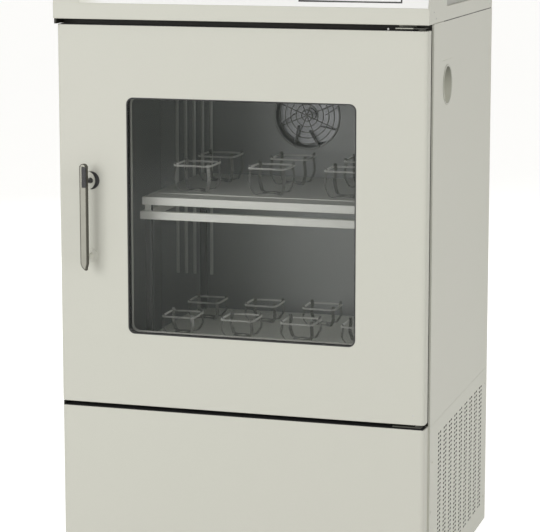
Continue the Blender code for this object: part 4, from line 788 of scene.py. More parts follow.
# Door
def makeDoor():
    door = {
        "cornerRadius": 0.010, "sheet": 0.002, "edge": 0.0011, "windowLap": 0.012, "windowRadius": 0.017,
        "bead": 0.0032, "beadEdge": 0.0006, "pinHole": 0.0046, "bandMore": 0.011, "bandRadius": 0.026,
        "seat": 0.0002, "spacerEnd": 0.0065, "trim": 0.0026, "trimInset": 0.0030, "steps": 8,
        "pinDeep": 0.005, "beadSunk": 0.0004, "beadGap": 0.0001,
    }
    low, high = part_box("door_shell")
    glassLow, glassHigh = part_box("window_outer_glass")
    lap, radius, steps = door["windowLap"], door["windowRadius"], door["steps"]
    windowLow = (glassLow.x + lap, glassLow.z + lap)
    windowHigh = (glassHigh.x - lap, glassHigh.z - lap)
    window = roundedRect(windowLow, windowHigh, radius, steps)
    skin = foldedSheet("doorSkin", low, high, door["cornerRadius"], door["sheet"])
    cut(skin, addPrism, window, "Y", low.y - past, low.y + past)
    deep = door["pinDeep"]
    for edge in (low.z, high.z):
        cut(skin, addRod, door["pinHole"], "Z", jointAt["door_hinge"][:2], edge - deep, edge + deep)
    softEdges(skin, door["edge"])
    dress(skin, "creamPaint", "door", "door_shell")

    # black glazing bead in the window's edge
    hole = drawnIn(windowLow, windowHigh, door["bead"], radius - door["bead"], steps)
    bead = framePiece("glazingBead", window, hole, low.y + door["beadSunk"], glassLow.y - door["beadGap"])
    softEdges(bead, door["beadEdge"])
    dress(bead, "blackRubber", "door")
    inner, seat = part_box("window_inner_glass"), door["seat"]
    middle = inner[0].y - door["spacerEnd"]
    bands = {
        "paneSpacer": (glassHigh.y + seat, middle, 0.0, "paneSpacer"),
        "paneSeal": (middle, inner[0].y - seat, 0.0, "blackRubber"),
        "paneTrim": (inner[1].y + seat, inner[1].y + door["trim"], door["trimInset"], "creamInner"),
    }
    outer = drawnIn(windowLow, windowHigh, -door["bandMore"], door["bandRadius"], steps)
    for name, (start, end, inset, finish) in bands.items():
        hole = drawnIn(windowLow, windowHigh, inset, radius, steps)
        dress(framePiece(name, outer, hole, start, end), finish, "door")

    # the panes, with a reflecting face on the outside
    for node in ("window_outer_glass", "window_inner_glass"):
        outline = roundedRect(*frontOf(node), radius + lap, steps)
        start, end = (corner.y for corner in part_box(node))
        pane = newPiece(node.replace("window_", "pane_"), addPrism, outline, "Y", start, end)
        dress(pane, "glassBody", "door", node)
        if node == "window_outer_glass":
            repaint(pane, "glassFace", lambda face: face.normal.y < -0.9)
    print("door skin and panes ready")


def makeDoorInner():
    # the inner panel with a raised border, and the gasket as a bellows in its groove
    gasket = {
        "width": 0.014, "outerRadius": 0.012, "innerRadius": 0.008, "lipCount": 3, "firstLip": 0.0035,
        "lipGap": 0.0042, "half": 0.0007, "deep": 0.0022,
    }
    refined("door_inner_panel", "doorLiner", "creamInner", 0.0015, 3)
    refined("window_seal", "windowFrame", "blackRubber", 0.0012)
    start, end = (corner.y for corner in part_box("door_gasket"))
    front = frontOf("door_gasket")
    inside = drawnIn(*front, gasket["width"], gasket["innerRadius"])
    body = framePiece("doorGasket", roundedRect(*front, gasket["outerRadius"]), inside, start, end)
    for i in range(gasket["lipCount"]):
        edge = gasket["firstLip"] + i * gasket["lipGap"]
        outer = drawnIn(*front, edge - gasket["half"], 0.010)
        keep = drawnIn(*front, edge + gasket["half"], 0.009)
        cut(body, framePiece("groove", outer, keep, end - gasket["deep"], end + past))
    dress(body, "greyGasket", "door", "door_gasket")
    print("door inside ready")


def makeHandle():
    handle = {
        "half": 0.0095, "thick": 0.014, "edge": 0.0038, "tip": 0.018, "leftMore": 0.0030, "tipMore": 0.006,
        "gap": 0.0004, "travel": 0.0036, "seat": 0.0003, "plate": 0.003, "lowerHeight": 0.88,
        "rosette": 0.016, "post": 0.006, "flare": 0.022, "stem": 0.0045, "dish": 0.0240, "dishAside": 0.0120,
    }
    low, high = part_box("door_handle")
    lowB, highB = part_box("latch_button")
    half, tip, plate = handle["half"], handle["tip"], handle["plate"]
    centreX = (lowB.x + highB.x) / 2
    left, right = centreX - half - handle["leftMore"], centreX + half - handle["leftMore"]
    front, back = low.y, low.y + handle["thick"]
    top, bottom = high.z, low.z - handle["tipMore"]
    outline = [
        (left, top - tip / 3), (left + half * 0.35, top - tip * 0.08), (left + half * 0.7, top),
        (right - half * 0.7, top), (right - half * 0.35, top - tip * 0.08), (right, top - tip / 3),
        (right, bottom + tip), (right - half * 0.35, bottom + tip * 0.28), (centreX + half * 0.4, bottom),
        (centreX - half * 0.1, bottom + tip * 0.05), (left + half * 0.35, bottom + tip * 0.5),
        (left, bottom + tip),
    ]
    bar = newPiece("handleBar", addPrism, outline, "Y", front, back)
    softEdges(bar, handle["edge"], 4, 50)
    gap = handle["gap"]
    cut(bar, addBox, (lowB.x - gap, front - past, lowB.z - gap),
        (highB.x + gap, highB.y + handle["travel"], highB.z + gap))
    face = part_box("door_shell")[0].y - handle["seat"]
    rosette, post = handle["rosette"], handle["post"]
    profile = [
        (0, face), (rosette, face), (rosette, face - plate * 0.7), (rosette * 0.93, face - plate),
        (post * 1.9, face - plate * 1.2), (post * 1.25, face - plate * 1.6), (post, face - plate * 2.4),
        (post, (front + back) / 2), (0, (front + back) / 2),
    ]
    join(bar, addLathe, profile, "Y", (centreX, handle["lowerHeight"]), 48)
    dress(bar, "handleMetal", "door", "door_handle")
    # faces turned to the sides and upward get the painted shade
    repaint(bar, "handleSide", lambda f: f.normal.x > 0.15 or f.normal.x < -0.10 or f.normal.z > 0.4)
    repaint(bar, "creamPaint", lambda f: f.center.y > back + 0.002)

    upper = middleOf("latch_escutcheon", 0, 2)
    flare, stem = handle["flare"], handle["stem"]
    profile = [
        (0, face), (flare, face), (flare, face - plate * 0.7), (flare * 0.96, face - plate * 1.1),
        (stem * 1.6, face - plate * 1.15), (stem * 1.25, face - plate * 2.0), (stem, face - plate * 6.5),
        (stem, back + handle["seat"]), (0, back + handle["seat"]),
    ]
    boss = newPiece("latchRosette", addLathe, profile, "Y", upper, 48)
    dress(boss, "blackPlastic", "door", "latch_escutcheon", angle=50)
    # a light dished centre, set off to the left, so that its cream is also a painted reflection on the rosette's
    # left part
    wide = handle["dish"]
    dish = [(0, face - plate), (wide, face - plate), (wide, face - plate * 1.25),
            (wide - 0.0008, face - plate * 1.35), (0, face - plate * 1.35)]
    ring = newPiece("rosetteDish", addLathe, dish, "Y", (upper[0] - handle["dishAside"], upper[1]), 64)
    combined(ring, "INTERSECT", "EXACT", addRod, flare - gap, "Y", upper, face - 0.02, face + past, 48)
    dress(ring, "creamPaint", "door", angle=50)

    # the latch button, ribbed across for the thumb
    rib = {"radius": 0.0005, "half": 0.0042, "count": 14, "pitch": 0.003}
    body = softEdges(newPiece("thumbButton", addBox, lowB, highB), 0.0012, 3)
    model = newPiece("model", addRod, rib["radius"], "X", (0, 0), -rib["half"], rib["half"], 8)
    ribs = grown("thumbButtonRibs", gridTree, model, "blackPlastic", inRows(
        1, rib["count"], 0.001, rib["pitch"], (centreX, lowB.y, (lowB.z + highB.z) / 2),
        turn=facing["front"], copyTurn=facing["back"]))
    dress(ribs, "blackPlastic", "latch_button")
    dress(body, "blackPlastic", "latch_button", "latch_button")
    print("handle ready")


# Sheet metal round the machine
def makeLowerPanel():
    panel = {"cornerRadius": 0.012, "sheet": 0.002, "edge": 0.0012}
    low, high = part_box("lower_front_panel")
    skin = foldedSheet("lowerFront", low, high, panel["cornerRadius"], panel["sheet"])
    softEdges(skin, panel["edge"])
    dress(skin, "creamPaint", "cabinet", "lower_front_panel")


def makeCasing():
    casing = {
        "sheet": 0.002, "edge": 0.0016, "gripHole": 0.0463, "tubeHole": 0.0308, "lineDepth": 0.0007,
        "lineHalf": 0.060, "lineWidth": 0.0008, "lineRise": 0.061,
    }
    low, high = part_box("outer_casing")
    grip = middleOf("side_grip_right", 1, 2)
    sheet = casing["sheet"]
    skin = newPiece("casingSkin", addBox, low, high)
    cut(skin, addBox, (low.x + sheet, low.y - past, low.z + sheet), high - Vector((sheet, sheet, sheet)))
    line, height = casing["lineWidth"], grip[1] + casing["lineRise"]
    for side in (-1, 1):
        start, end = mirrored(side, high.x + past, high.x - past)
        cut(skin, addRod, casing["gripHole"], "X", grip, start, end, 64)
        start, end = mirrored(side, high.x + past, high.x - casing["lineDepth"])
        cut(skin, addBox, (start, grip[0] - casing["lineHalf"], height - line),
            (end, grip[0] + casing["lineHalf"], height + line))
    cut(skin, addRod, casing["tubeHole"], "Z", jointAt["main_spin"][:2], low.z - past, low.z + past, 48)
    softEdges(skin, casing["edge"])
    dress(skin, "creamPaint", "cabinet", "outer_casing")


def makeRearCover():
    cover = {"margin": 0.022, "thick": 0.0012, "edge": 0.0008, "screwInset": 0.012, "pitch": 0.17}
    low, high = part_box("outer_casing")
    margin, outside = cover["margin"], high.y + cover["thick"]
    block("rearCover", (low.x + margin, high.y - 0.0005, low.z + margin),
          (high.x - margin, outside, high.z - margin), "creamPaint", edge=cover["edge"])
    inset = margin + cover["screwInset"]
    rows = []
    for a in (0, 2):
        span = high[a] - low[a] - 2 * inset
        count = int(span / cover["pitch"])
        rows.append([low[a] + inset + span * i / count for i in range(count + 1)])
    across, upward = rows
    spots = [(x, outside, z) for x in across for z in (upward[0], upward[-1])]
    spots += [(x, outside, z) for x in (across[0], across[-1]) for z in upward[1:-1]]
    fasteners("rearCoverScrews", spots, "back")


def makeVentPanels():
    vent = {
        "columns": 9, "pitch": 0.0624, "rowPitch": 0.0108, "slotLength": 0.034, "slotHeight": 0.0010,
        "endLong": 0.0066, "endHigh": 0.0028, "firstColumn": 0.149, "top": 0.039, "bottom": 0.030,
        "sheet": 0.002, "fold": 0.018, "rearInset": 0.010, "punch": 0.006, "smallFace": 0.0001,
        "edgeOff": 0.0002, "frontScrews": ((0.066, 0.308), (0.056, 0.187)), "screwBack": 0.03,
        "screwLow": 0.05, "screwTop": 0.04,
    }
    low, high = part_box("vent_panel_right")
    front, back, sheet = low.y, high.y, vent["sheet"]
    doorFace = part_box("door_shell")[0].y
    rows = int((high.z - low.z - vent["top"] - vent["bottom"]) / vent["rowPitch"]) + 1
    middleZ = high.z - vent["top"] - (rows - 1) * vent["rowPitch"] / 2
    middleY = doorFace + vent["firstColumn"] + (vent["columns"] - 1) * vent["pitch"] / 2
    # one slot: a narrow cut that opens to an oval at each end
    half, long, tall = vent["slotLength"] / 2, vent["endLong"], vent["endHigh"]
    meet = math.degrees(math.asin(vent["slotHeight"] / 2 / tall))
    oval = [(half - long + x * long, y * tall) for x, y in arcPoints((0, 0), 1, -180 + meet, 180 - meet, 8)]
    outline = oval + [(-x, -y) for x, y in oval]
    for side, name in ((1, "right"), (-1, "left")):
        x, inner, fold = side * high.x, side * (high.x - sheet), side * (high.x - vent["fold"])
        plan = [
            (x, front), (fold, front), (fold, front + sheet), (inner, front + sheet),
            (inner, back - vent["rearInset"]), (inner, back), (x, back),
        ]
        skin = newPiece("ventPanel_" + name, addPrism, plan, "Z", low.z, high.z)
        slot = newPiece("model", addPrism, outline, "Z", -vent["punch"], vent["punch"])
        punches = grown("punches", gridTree, slot, "creamPaint", inRows(
            vent["columns"], rows, vent["pitch"], vent["rowPitch"], (x, middleY, middleZ),
            turn=Euler((quarter, 0, quarter))))
        cut(skin, punches, solver="MANIFOLD")
        dress(skin, "creamPaint", "cabinet", "vent_panel_" + name)
        # the slots' walls are painted near black: painted shade inside the holes
        off = vent["edgeOff"]
        repaint(skin, "ventEdge", lambda face: face.area < vent["smallFace"]
                and off < high.x - abs(face.center.x) < sheet - off)
        spots = [(x, doorFace + y, low.z + z) for y, z in vent["frontScrews"]]
        heights = (low.z + vent["screwLow"], high.z - vent["screwTop"])
        spots += [(x, back - vent["screwBack"], z) for z in heights]
        fasteners("ventScrews_" + name, spots, name, 0.0032, 0.0014, finish="creamPaint")
    print("vent panels ready, rows:", rows)


def makeRearPanel():
    rear = {"half": 0.134, "rows": 9, "pitch": 0.024, "first": 0.050, "hood": 0.006, "screwInset": 0.015}
    refined("lower_rear_panel", "rearPanel", "creamPaint", 0.0005)
    low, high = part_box("lower_rear_panel")
    # a louvre: a quarter-round hood over each slot, open below
    profile = [(0, 0)] + arcPoints((0, 0), rear["hood"], 0, 90, 5)
    model = newPiece("model", addPrism, [(a, b * 1.6) for a, b in profile], "X", -rear["half"], rear["half"])
    centre = middleOf("condenser", 0, 2)[0]
    middleZ = low.z + rear["first"] + (rear["rows"] - 1) * rear["pitch"] / 2
    hoods = grown("rearLouvres", gridTree, model, "creamPaint", inRows(
        1, rear["rows"], past, rear["pitch"], (centre, high.y, middleZ),
        turn=facing["front"], copyTurn=facing["back"]))
    dress(hoods, "creamPaint", "cabinet")
    inset = rear["screwInset"]
    spots = [(x, high.y, z) for x in (low.x + inset, 0, high.x - inset)
             for z in (low.z + inset, high.z - inset)]
    fasteners("rearScrews", spots, "back")
    print("rear panel ready")


def makeGrips():
    grip = {
        "radius": 0.046, "depth": 0.026, "wall": 0.002, "flange": 0.0015, "rim": 0.049, "edge": 0.006,
        "soft": 0.0007, "side": 0.465, "seat": 0.0003,
    }
    outer, inner, edge = grip["radius"], grip["radius"] - grip["wall"], grip["edge"]
    for side, out in (("right", 1), ("left", -1)):
        face = out * (grip["side"] + grip["seat"])
        floor = out * (grip["side"] - grip["depth"])
        rim = face + out * grip["flange"]
        below = arcPoints((outer - edge, edge), edge, -90, 0, 5)
        above = arcPoints((inner - edge, edge + grip["wall"]), edge, 0, -90, 5)
        profile = [(0, floor)] + [(a, floor + out * b) for a, b in below]
        profile += [
            (outer, face), (grip["rim"], face), (grip["rim"], rim - out * grip["soft"]),
            (grip["rim"] - grip["soft"], rim), (inner + 0.001, rim), (inner, rim - out * 0.001),
        ]
        profile += [(a, floor + out * b) for a, b in above] + [(0, floor + out * grip["wall"])]
        node = "side_grip_" + side
        cup = newPiece("gripCup_" + side, addLathe, profile, "X", middleOf(node, 1, 2), 64)
        dress(cup, "gripPlastic", "cabinet", node, angle=40)
        # the hollow's inner faces take the painted shade
        repaint(cup, "gripHollow", lambda part: abs(part.center.x) < grip["side"] - 0.0005)
    print("grips ready")


# Control head
head = {
    "lip": 0.038, "setback": 0.045, "round": 0.006, "sheet": 0.002, "edge": 0.0022, "pocketDepth": 0.006,
    "pocketFront": 0.175, "pocketLength": 0.320, "pocketLift": 0.034, "pocketHeight": 0.060,
    "pocketRound": 0.008, "frontScrews": ((0.035, 0.0275), (0.058, 0.012)), "rearScrew": (0.03, 0.012),
}


def slopeAxes():
    low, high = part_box("head_shell")
    tilt = math.atan2(head["setback"], high.z - low.z - head["lip"])
    start = Vector((0, low.y, low.z + head["lip"]))
    up = Vector((0, math.sin(tilt), math.cos(tilt)))
    out = Vector((0, -math.cos(tilt), math.sin(tilt)))
    return start, up, out, tilt


def slopeBox(xLow, xHigh, depthLow, depthHigh, upLow, upHigh):
    start, up, out, _ = slopeAxes()
    bm = shape(addBox, (xLow, depthLow, upLow), (xHigh, depthHigh, upHigh))
    for vert in bm.verts:
        x, depth, height = vert.co
        vert.co = start + Vector((x, 0, 0)) + out * depth + up * height
    return bm


def slopeSpan(node):
    # a node's extent in the sloped face's own directions: x, outward, up the slope
    start, up, out, _ = slopeAxes()
    spots = [vert.co - start for vert in nodes[node].data.vertices]
    xs, outs, ups = [s.x for s in spots], [s.dot(out) for s in spots], [s.dot(up) for s in spots]
    return min(xs), max(xs), min(outs), max(outs), min(ups), max(ups)


def cutControls(piece):
    # the openings of the display and the keys
    grow, deep = 0.0003, 0.02
    for node in ("display_screen", "key_set", "key_run"):
        x0, x1, d0, d1, u0, u1 = slopeSpan(node)
        cut(piece, slopeBox(x0 - grow, x1 + grow, d0 - deep, d1 + deep, u0 - grow, u1 + grow))
    return piece


def makeHead():
    low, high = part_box("head_shell")
    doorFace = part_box("door_shell")[0].y
    tilt = slopeAxes()[3]

    def section(wall, bottom):
        # the side view of the shell, drawn in by a wall's thickness
        half = math.tan((math.pi / 2 - tilt) / 2)
        bend = low.z + head["lip"] - wall * math.tan(tilt / 2)
        radius = max(head["round"] - wall, 0.002)
        ridge = low.y + head["setback"] + wall * half + radius * half
        level = high.z - wall - radius
        outline = [(low.y + wall, bottom), (low.y + wall, bend)]
        outline += arcPoints((ridge, level), radius, 180 - math.degrees(tilt), 90, 5)
        outline += arcPoints((high.y - wall - radius, level), radius, 90, 0, 5)
        return outline + [(high.y - wall, bottom)]

    shell = newPiece("headShell", addPrism, section(0, low.z), "X", low.x, high.x)
    softEdges(shell, head["edge"], 3)
    sheet, depth = head["sheet"], head["pocketDepth"]
    cut(shell, addPrism, section(sheet, low.z - past), "X", low.x + sheet, high.x - sheet)
    front, bottom = doorFace + head["pocketFront"], low.z + head["pocketLift"]
    back, top = front + head["pocketLength"], bottom + head["pocketHeight"]
    for side in (1, -1):
        start, end = mirrored(side, high.x - sheet / 2, high.x - depth - sheet)
        join(shell, addBox, (start, front - sheet, bottom - sheet), (end, back + sheet, top + sheet))
        start, end = mirrored(side, high.x + sheet, high.x - depth)
        outline = roundedRect((front, bottom), (back, top), head["pocketRound"], 5)
        cut(shell, addPrism, outline, "X", start, end)
    dress(cutControls(shell), "creamPaint", "cabinet", "head_shell")
    deep = high.x - depth
    # the pocket's floor is painted grey: painted shade in the recess
    repaint(shell, "pocketGrey", lambda f: abs(abs(f.center.x) - deep) < 0.0002 and f.center.z > bottom)
    places = [(doorFace + y, low.z + z) for y, z in head["frontScrews"]]
    places.append((high.y - head["rearScrew"][0], low.z + head["rearScrew"][1]))
    for side, name in ((1, "Right"), (-1, "Left")):
        spots = [(side * high.x, y, z) for y, z in places]
        fasteners("headScrews" + name, spots, name.lower(), 0.0026, 0.0011)
    print("head ready")


def makeControls():
    control = {
        "filmStart": 0.0004, "filmMore": 0.0070, "frame": (0.152, 0.400, 0.0117, 0.116), "line": 0.0034,
        "rise": 0.0005, "seat": 0.0002, "bezel": 0.0022, "bezelRise": 0.0007, "keyRound": 0.0015,
        "dish": 0.006,
    }
    x0, x1, d0, d1, u0, u1 = slopeSpan("control_panel")
    film = rawPiece("controlFilm", slopeBox(x0, x1 + control["filmMore"], d0, d1, control["filmStart"], u1))
    softEdges(cutControls(film), 0.0003, 1)
    # the film's finish paints shade over its left end
    dress(film, "panelFilm", "cabinet", "control_panel")
    line, rise, seat = control["line"], control["rise"], control["seat"]
    left, right, bottom, top = control["frame"]
    within = (left + line, right - line), (bottom + line, top - line)
    outline = rawPiece("panelFrame", slopeBox(left, right, d1 - seat, d1 + rise, bottom, top))
    cut(outline, slopeBox(*within[0], d1 - past, d1 + past, *within[1]))
    dress(outline, "blackPlastic", "cabinet")
    field = rawPiece("panelField", slopeBox(*within[0], d1 - seat, d1 + rise / 2, *within[1]))
    dress(cutControls(field), "displayField", "cabinet")

    x0, x1, d0, d1, u0, u1 = slopeSpan("display_screen")
    screen = rawPiece("displayScreen", slopeBox(x0, x1, d0, d1 - 0.0004, u0, u1))
    dress(softEdges(screen, 0.0004), "displayScreen", "cabinet", "display_screen")
    rim = control["bezel"]
    bezel = rawPiece("displayBezel", slopeBox(x0, x1, d1 - 0.0003, d1 + control["bezelRise"], u0, u1))
    cut(bezel, slopeBox(x0 + rim, x1 - rim, d0 - past, d1 + past, u0 + rim, u1 - rim))
    dress(bezel, "blackPlastic", "cabinet")
    rim = control["dish"]
    for node in ("key_set", "key_run"):
        x0, x1, d0, d1, u0, u1 = slopeSpan(node)
        key = softEdges(rawPiece(node + "Cap", slopeBox(x0, x1, d0, d1, u0, u1)), control["keyRound"], 3)
        cut(key, slopeBox(x0 + rim, x1 - rim, d1 - 0.0004, d1 + 0.002, u0 + rim, u1 - rim))
        dress(key, "keyRubber", node, node)
    refined("controller_board", "controllerBoard", "circuitBoard", 0.0003, 1)
    print("controls ready")


# Hinges
def makeHinges():
    hinge = {"plate": 0.042, "screws": (0.012, 0.034), "screwBack": 0.003}
    # the bottom bracket is black all over: painted shade for the dark gap under the door
    for end, finish in (("top", "hingeSteel"), ("bottom", "hingeBlack")):
        node = "hinge_bracket_" + end
        bracket = refined(node, "hingeBracket_" + end, finish, 0.0006)
        low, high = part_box(node)
        if end == "top":
            # steel up to the plate's edge and black beyond it: painted shadow over the bracket's end
            edge = low.x + hinge["plate"]
            bm = bmesh.new()
            bm.from_mesh(bracket.data)
            bmesh.ops.bisect_plane(bm, geom=bm.verts[:] + bm.edges[:] + bm.faces[:], plane_co=(edge, 0, 0),
                                   plane_no=(1, 0, 0))
            bm.to_mesh(bracket.data)
            bm.free()
            repaint(bracket, "hingeBlack", lambda face: face.center.x > edge)
        # two screws in the upright flange of the plate
        spots = [(low.x + d, high.y - hinge["screwBack"], (low.z + high.z) / 2) for d in hinge["screws"]]
        fasteners("hingeScrews_" + end, spots, "front", 0.0024, 0.0010)
    print("hinges ready")


# Cabinet, jamb and base
def makeFrameParts():
    refined("door_frame", "jamb", "jambDark", 0.0012)
    refined("base_frame", "basePan", "creamPaint")
    panelLow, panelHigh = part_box("lower_front_panel")
    doorLow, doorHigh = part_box("door_shell")
    headLow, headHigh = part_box("head_shell")
    casingLow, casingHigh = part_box("outer_casing")
    strip = {"setBack": 0.0010, "sunk": 0.0001, "thick": 0.0007, "end": 0.003, "hingeEnd": 0.030}
    end, back = strip["end"], strip["setBack"]
    # black strips on the lower panel's top and on the door's top: painted shade in the gaps under and over the
    # door
    block("sillStrip", (panelLow.x + end, panelLow.y + back, panelHigh.z - strip["sunk"]),
          (panelHigh.x - end, panelHigh.y - 0.001, panelHigh.z + strip["thick"]),
          "blackRubber")
    block("doorTopStrip", (doorLow.x + end, doorLow.y + back, doorHigh.z - strip["sunk"]),
          (doorHigh.x - strip["hingeEnd"], doorHigh.y - 0.001, doorHigh.z + strip["thick"]),
          "blackRubber", "door")
    # dark caps close the left ends of the gaps over and under the door: painted shade at these ends
    cap = {"front": 0.0060, "back": 0.0010, "top": (0.0010, 0.0062), "low": (0.0020, 0.0050), "rise": 0.0018,
           "drop": 0.0020}
    front, back = cap["front"], casingLow.y + cap["back"]
    block("gapCapTop", (headLow.x + cap["top"][0], headLow.y + front, doorHigh.z + cap["rise"]),
          (headLow.x + cap["top"][1], back, headLow.z), "jambDark")
    block("gapCapLow", (doorLow.x + cap["low"][0], doorLow.y + front, panelHigh.z),
          (doorLow.x + cap["low"][1], back, doorLow.z - cap["drop"]), "jambDark")
    lip = {"inner": 0.0056, "outer": 0.0003, "proud": 0.0012, "end": 0.001, "edge": 0.0006}
    seam = {"deep": 0.0012, "proud": 0.00015, "front": 0.150, "back": 0.012, "below": 0.0010, "above": 0.0004}
    for side, name in ((1, "Right"), (-1, "Left")):
        x0, x1 = mirrored(side, casingHigh.x - lip["inner"], casingHigh.x - lip["outer"])
        block("casingLip" + name, (x0, casingLow.y - lip["proud"], casingLow.z + lip["end"]),
              (x1, casingLow.y + lip["end"], casingHigh.z - lip["end"]), "creamPaint",
              edge=lip["edge"])
        x0, x1 = mirrored(side, headHigh.x - seam["deep"], headHigh.x + seam["proud"])
        block("headSeam" + name, (x0, doorLow.y + seam["front"], headLow.z - seam["below"]),
              (x1, headHigh.y - seam["back"], headLow.z + seam["above"]), "blackRubber")
    # one small screw low on the door, and a white buffer in the gap over it
    screw = {"x": 0.433, "proud": 0.0002, "down": 0.909, "radius": 0.0022, "height": 0.0008}
    buffer = {
        "x": 0.363, "behind": 0.010, "radius": 0.0024, "tip": 0.0016, "shoulder": 0.0045, "height": 0.0060,
    }
    fasteners("doorScrew", [(screw["x"], doorLow.y + screw["proud"], doorHigh.z - screw["down"])], "front",
              screw["radius"], screw["height"], "door")
    wide, top = buffer["radius"], doorHigh.z + buffer["height"]
    profile = [(0, doorHigh.z), (wide, doorHigh.z), (wide, doorHigh.z + buffer["shoulder"]),
               (buffer["tip"], top), (0, top)]
    stud = newPiece("doorBuffer", addLathe, profile, "Z", (buffer["x"], doorLow.y + buffer["behind"]))
    dress(stud, "markWhite", "door")
    print("jamb, base and strips ready")


def makeLiner():
    liner = {"wall": 0.0015, "cornerRadius": 0.018, "tubeHole": 0.0305}
    low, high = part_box("chamber_liner")
    wall = liner["wall"]
    inner = drawnIn(*frontOf("chamber_liner"), wall, liner["cornerRadius"], 8)
    skin = newPiece("chamberLiner", addBox, low, high)
    cut(skin, addPrism, inner, "Y", low.y - past, high.y - wall)
    cut(skin, addRod, liner["tubeHole"], "Z", jointAt["main_spin"][:2], low.z - past, low.z + past, 48)
    dress(skin, "linerSteel", "cabinet", "chamber_liner")


def makeBaffle():
    baffle = {
        "intake": 0.086, "slotCount": 5, "slotHalf": 0.006, "slotPitch": 0.024, "slotHeight": 0.520,
        "slotLift": 0.180, "slotInset": 0.050, "wire": 0.0013, "rings": 6, "spokes": 4, "guardMore": 0.004,
        "hoodOut": 0.001, "hoodIn": 0.0003, "hoodFlat": 0.7, "screwSide": 0.014, "screwEnd": 0.02,
    }
    low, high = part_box("rear_baffle")
    half, reach, wire = baffle["slotHalf"], baffle["slotHeight"] / 2, baffle["wire"]
    fan = middleOf("circulation_fan", 0, 2)
    sheet = newPiece("rearBaffle", addBox, low, high)
    cut(sheet, addRod, baffle["intake"], "Y", fan, low.y - past, high.y + past, 64)
    hoodSpots = []
    slots = bmesh.new()
    for side in (-1, 1):
        for i in range(baffle["slotCount"]):
            x = side * (high.x - baffle["slotInset"] - i * baffle["slotPitch"])
            z = low.z + baffle["slotLift"] + reach
            addBox(slots, (x - half, low.y - past, z - reach), (x + half, high.y + past, z + reach))
            hoodSpots.append((x, low.y, z))
    cut(sheet, slots)
    dress(sheet, "linerSteel", "cabinet", "rear_baffle")
    # a pressed hood on each slot: half a tube, open to one side
    profile = arcPoints((0, 0), half + baffle["hoodOut"], 180, 300, 8)
    profile += arcPoints((0, 0), half + baffle["hoodIn"], 300, 180, 8)
    profile = [(a, b * baffle["hoodFlat"]) for a, b in profile]
    model = newPiece("model", addPrism, profile, "Z", -reach, reach)
    hoods = grown("baffleHoods", spotTree, model, "hoodSteel", spots=hoodSpots)
    dress(hoods, "hoodSteel", "cabinet")
    guard = bmesh.new()
    reach = baffle["intake"] + baffle["guardMore"]
    for i in range(baffle["rings"]):
        loop = arcPoints(fan, reach * (i + 1) / baffle["rings"], 0, 360, 48)
        addPipe(guard, [(x, low.y - wire, z) for x, z in loop], wire, 8)
    for i in range(baffle["spokes"]):
        t = math.pi * (i + 0.5) / baffle["spokes"]
        ends = [(fan[0] + out * math.cos(t), low.y - wire * 2.6, fan[1] + out * math.sin(t))
                for out in (-reach, reach)]
        addPipe(guard, ends, wire, 8)
    dress(rawPiece("fanGuard", guard), "springSteel", "cabinet")
    side, end = baffle["screwSide"], baffle["screwEnd"]
    spots = [(x, low.y, z) for x in (low.x + side, high.x - side)
             for z in (low.z + end, (low.z + high.z) / 2, high.z - end)]
    fasteners("baffleScrews", spots, "front")
    print("liner and baffle ready")


def makeAir():
    air = {
        "tube": 0.004, "coil": 0.108, "coilStart": 5, "coilEnd": 340, "finCount": 90, "fin": 0.0004,
        "finEnd": 0.006, "pipe": 0.004, "pipes": 5, "ribs": 6, "ribStart": 0.006, "ribPitch": 0.005,
        "rib": (0.0365, 0.0395), "ribThick": 0.002, "drop": 0.004,
    }
    refined("circulation_fan", "circulationFan", "fanAlloy", 0.0003)
    refined("fan_motor", "fanMotor", "motorEnamel", 0.0012)
    centre = middleOf("fan_motor", 0, 2)
    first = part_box("fan_motor")[0].y + air["ribStart"]
    heights = [first + i * air["ribPitch"] for i in range(air["ribs"])]
    ribs = newPiece("fanMotorRibs", addBands, air["rib"], heights, air["ribThick"], "Y", centre)
    dress(ribs, "motorEnamel", "cabinet")
    front, wall = (corner.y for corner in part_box("heater_coil"))
    loop = arcPoints(centre, air["coil"], air["coilStart"], air["coilEnd"], 60)
    loop = [(x, front + air["tube"], z) for x, z in loop]
    first, last = loop[0], loop[-1]
    loop = [(first[0], wall, first[2])] + loop + [(last[0], wall, last[2] - air["drop"])]
    heater = newPiece("heaterCoil", addPipe, loop, air["tube"], 16)
    dress(heater, "heaterSheath", "cabinet", "heater_coil", angle=50)
    low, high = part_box("evaporator")
    middle, size = (low + high) / 2, high - low
    pitch = (size.x - air["finEnd"]) / (air["finCount"] - 1)
    reach = Vector((air["fin"], size.y, size.z)) / 2
    fins = grown("evaporatorFins", gridTree, newPiece("model", addBox, -reach, reach), "finAlloy", inRows(
        air["finCount"], 1, pitch, past, middle))
    dress(fins, "finAlloy", "cabinet", "evaporator")
    pipes = bmesh.new()
    for i in range(air["pipes"]):
        z = low.z + size.z * (i + 0.5) / air["pipes"]
        addRod(pipes, air["pipe"], "X", (middle.y, z), low.x, high.x, 16)
    dress(rawPiece("evaporatorPipes", pipes), "copper", "cabinet")
    print("air system ready")


# Shaking platform
def addStrip(bm, stations, width, metal, turn):
    # a flat strip bent through (radius, height) stations, turned about the upright axis
    across = Vector((-math.sin(turn), math.cos(turn), 0)) * width / 2
    outward = Vector((math.cos(turn), math.sin(turn), 0))
    rings = []
    for i, (radius, height) in enumerate(stations):
        ahead = stations[min(i + 1, len(stations) - 1)]
        behind = stations[max(i - 1, 0)]
        run = Vector((ahead[0] - behind[0], ahead[1] - behind[1])).normalized()
        normal = (outward * run.y - Vector((0, 0, run.x))) * metal / 2
        spot = outward * radius + Vector((0, 0, height))
        sides = ((-1, -1), (1, -1), (1, 1), (-1, 1))
        rings.append([bm.verts.new(spot + a * across + b * normal) for a, b in sides])
    addSkin(bm, rings)


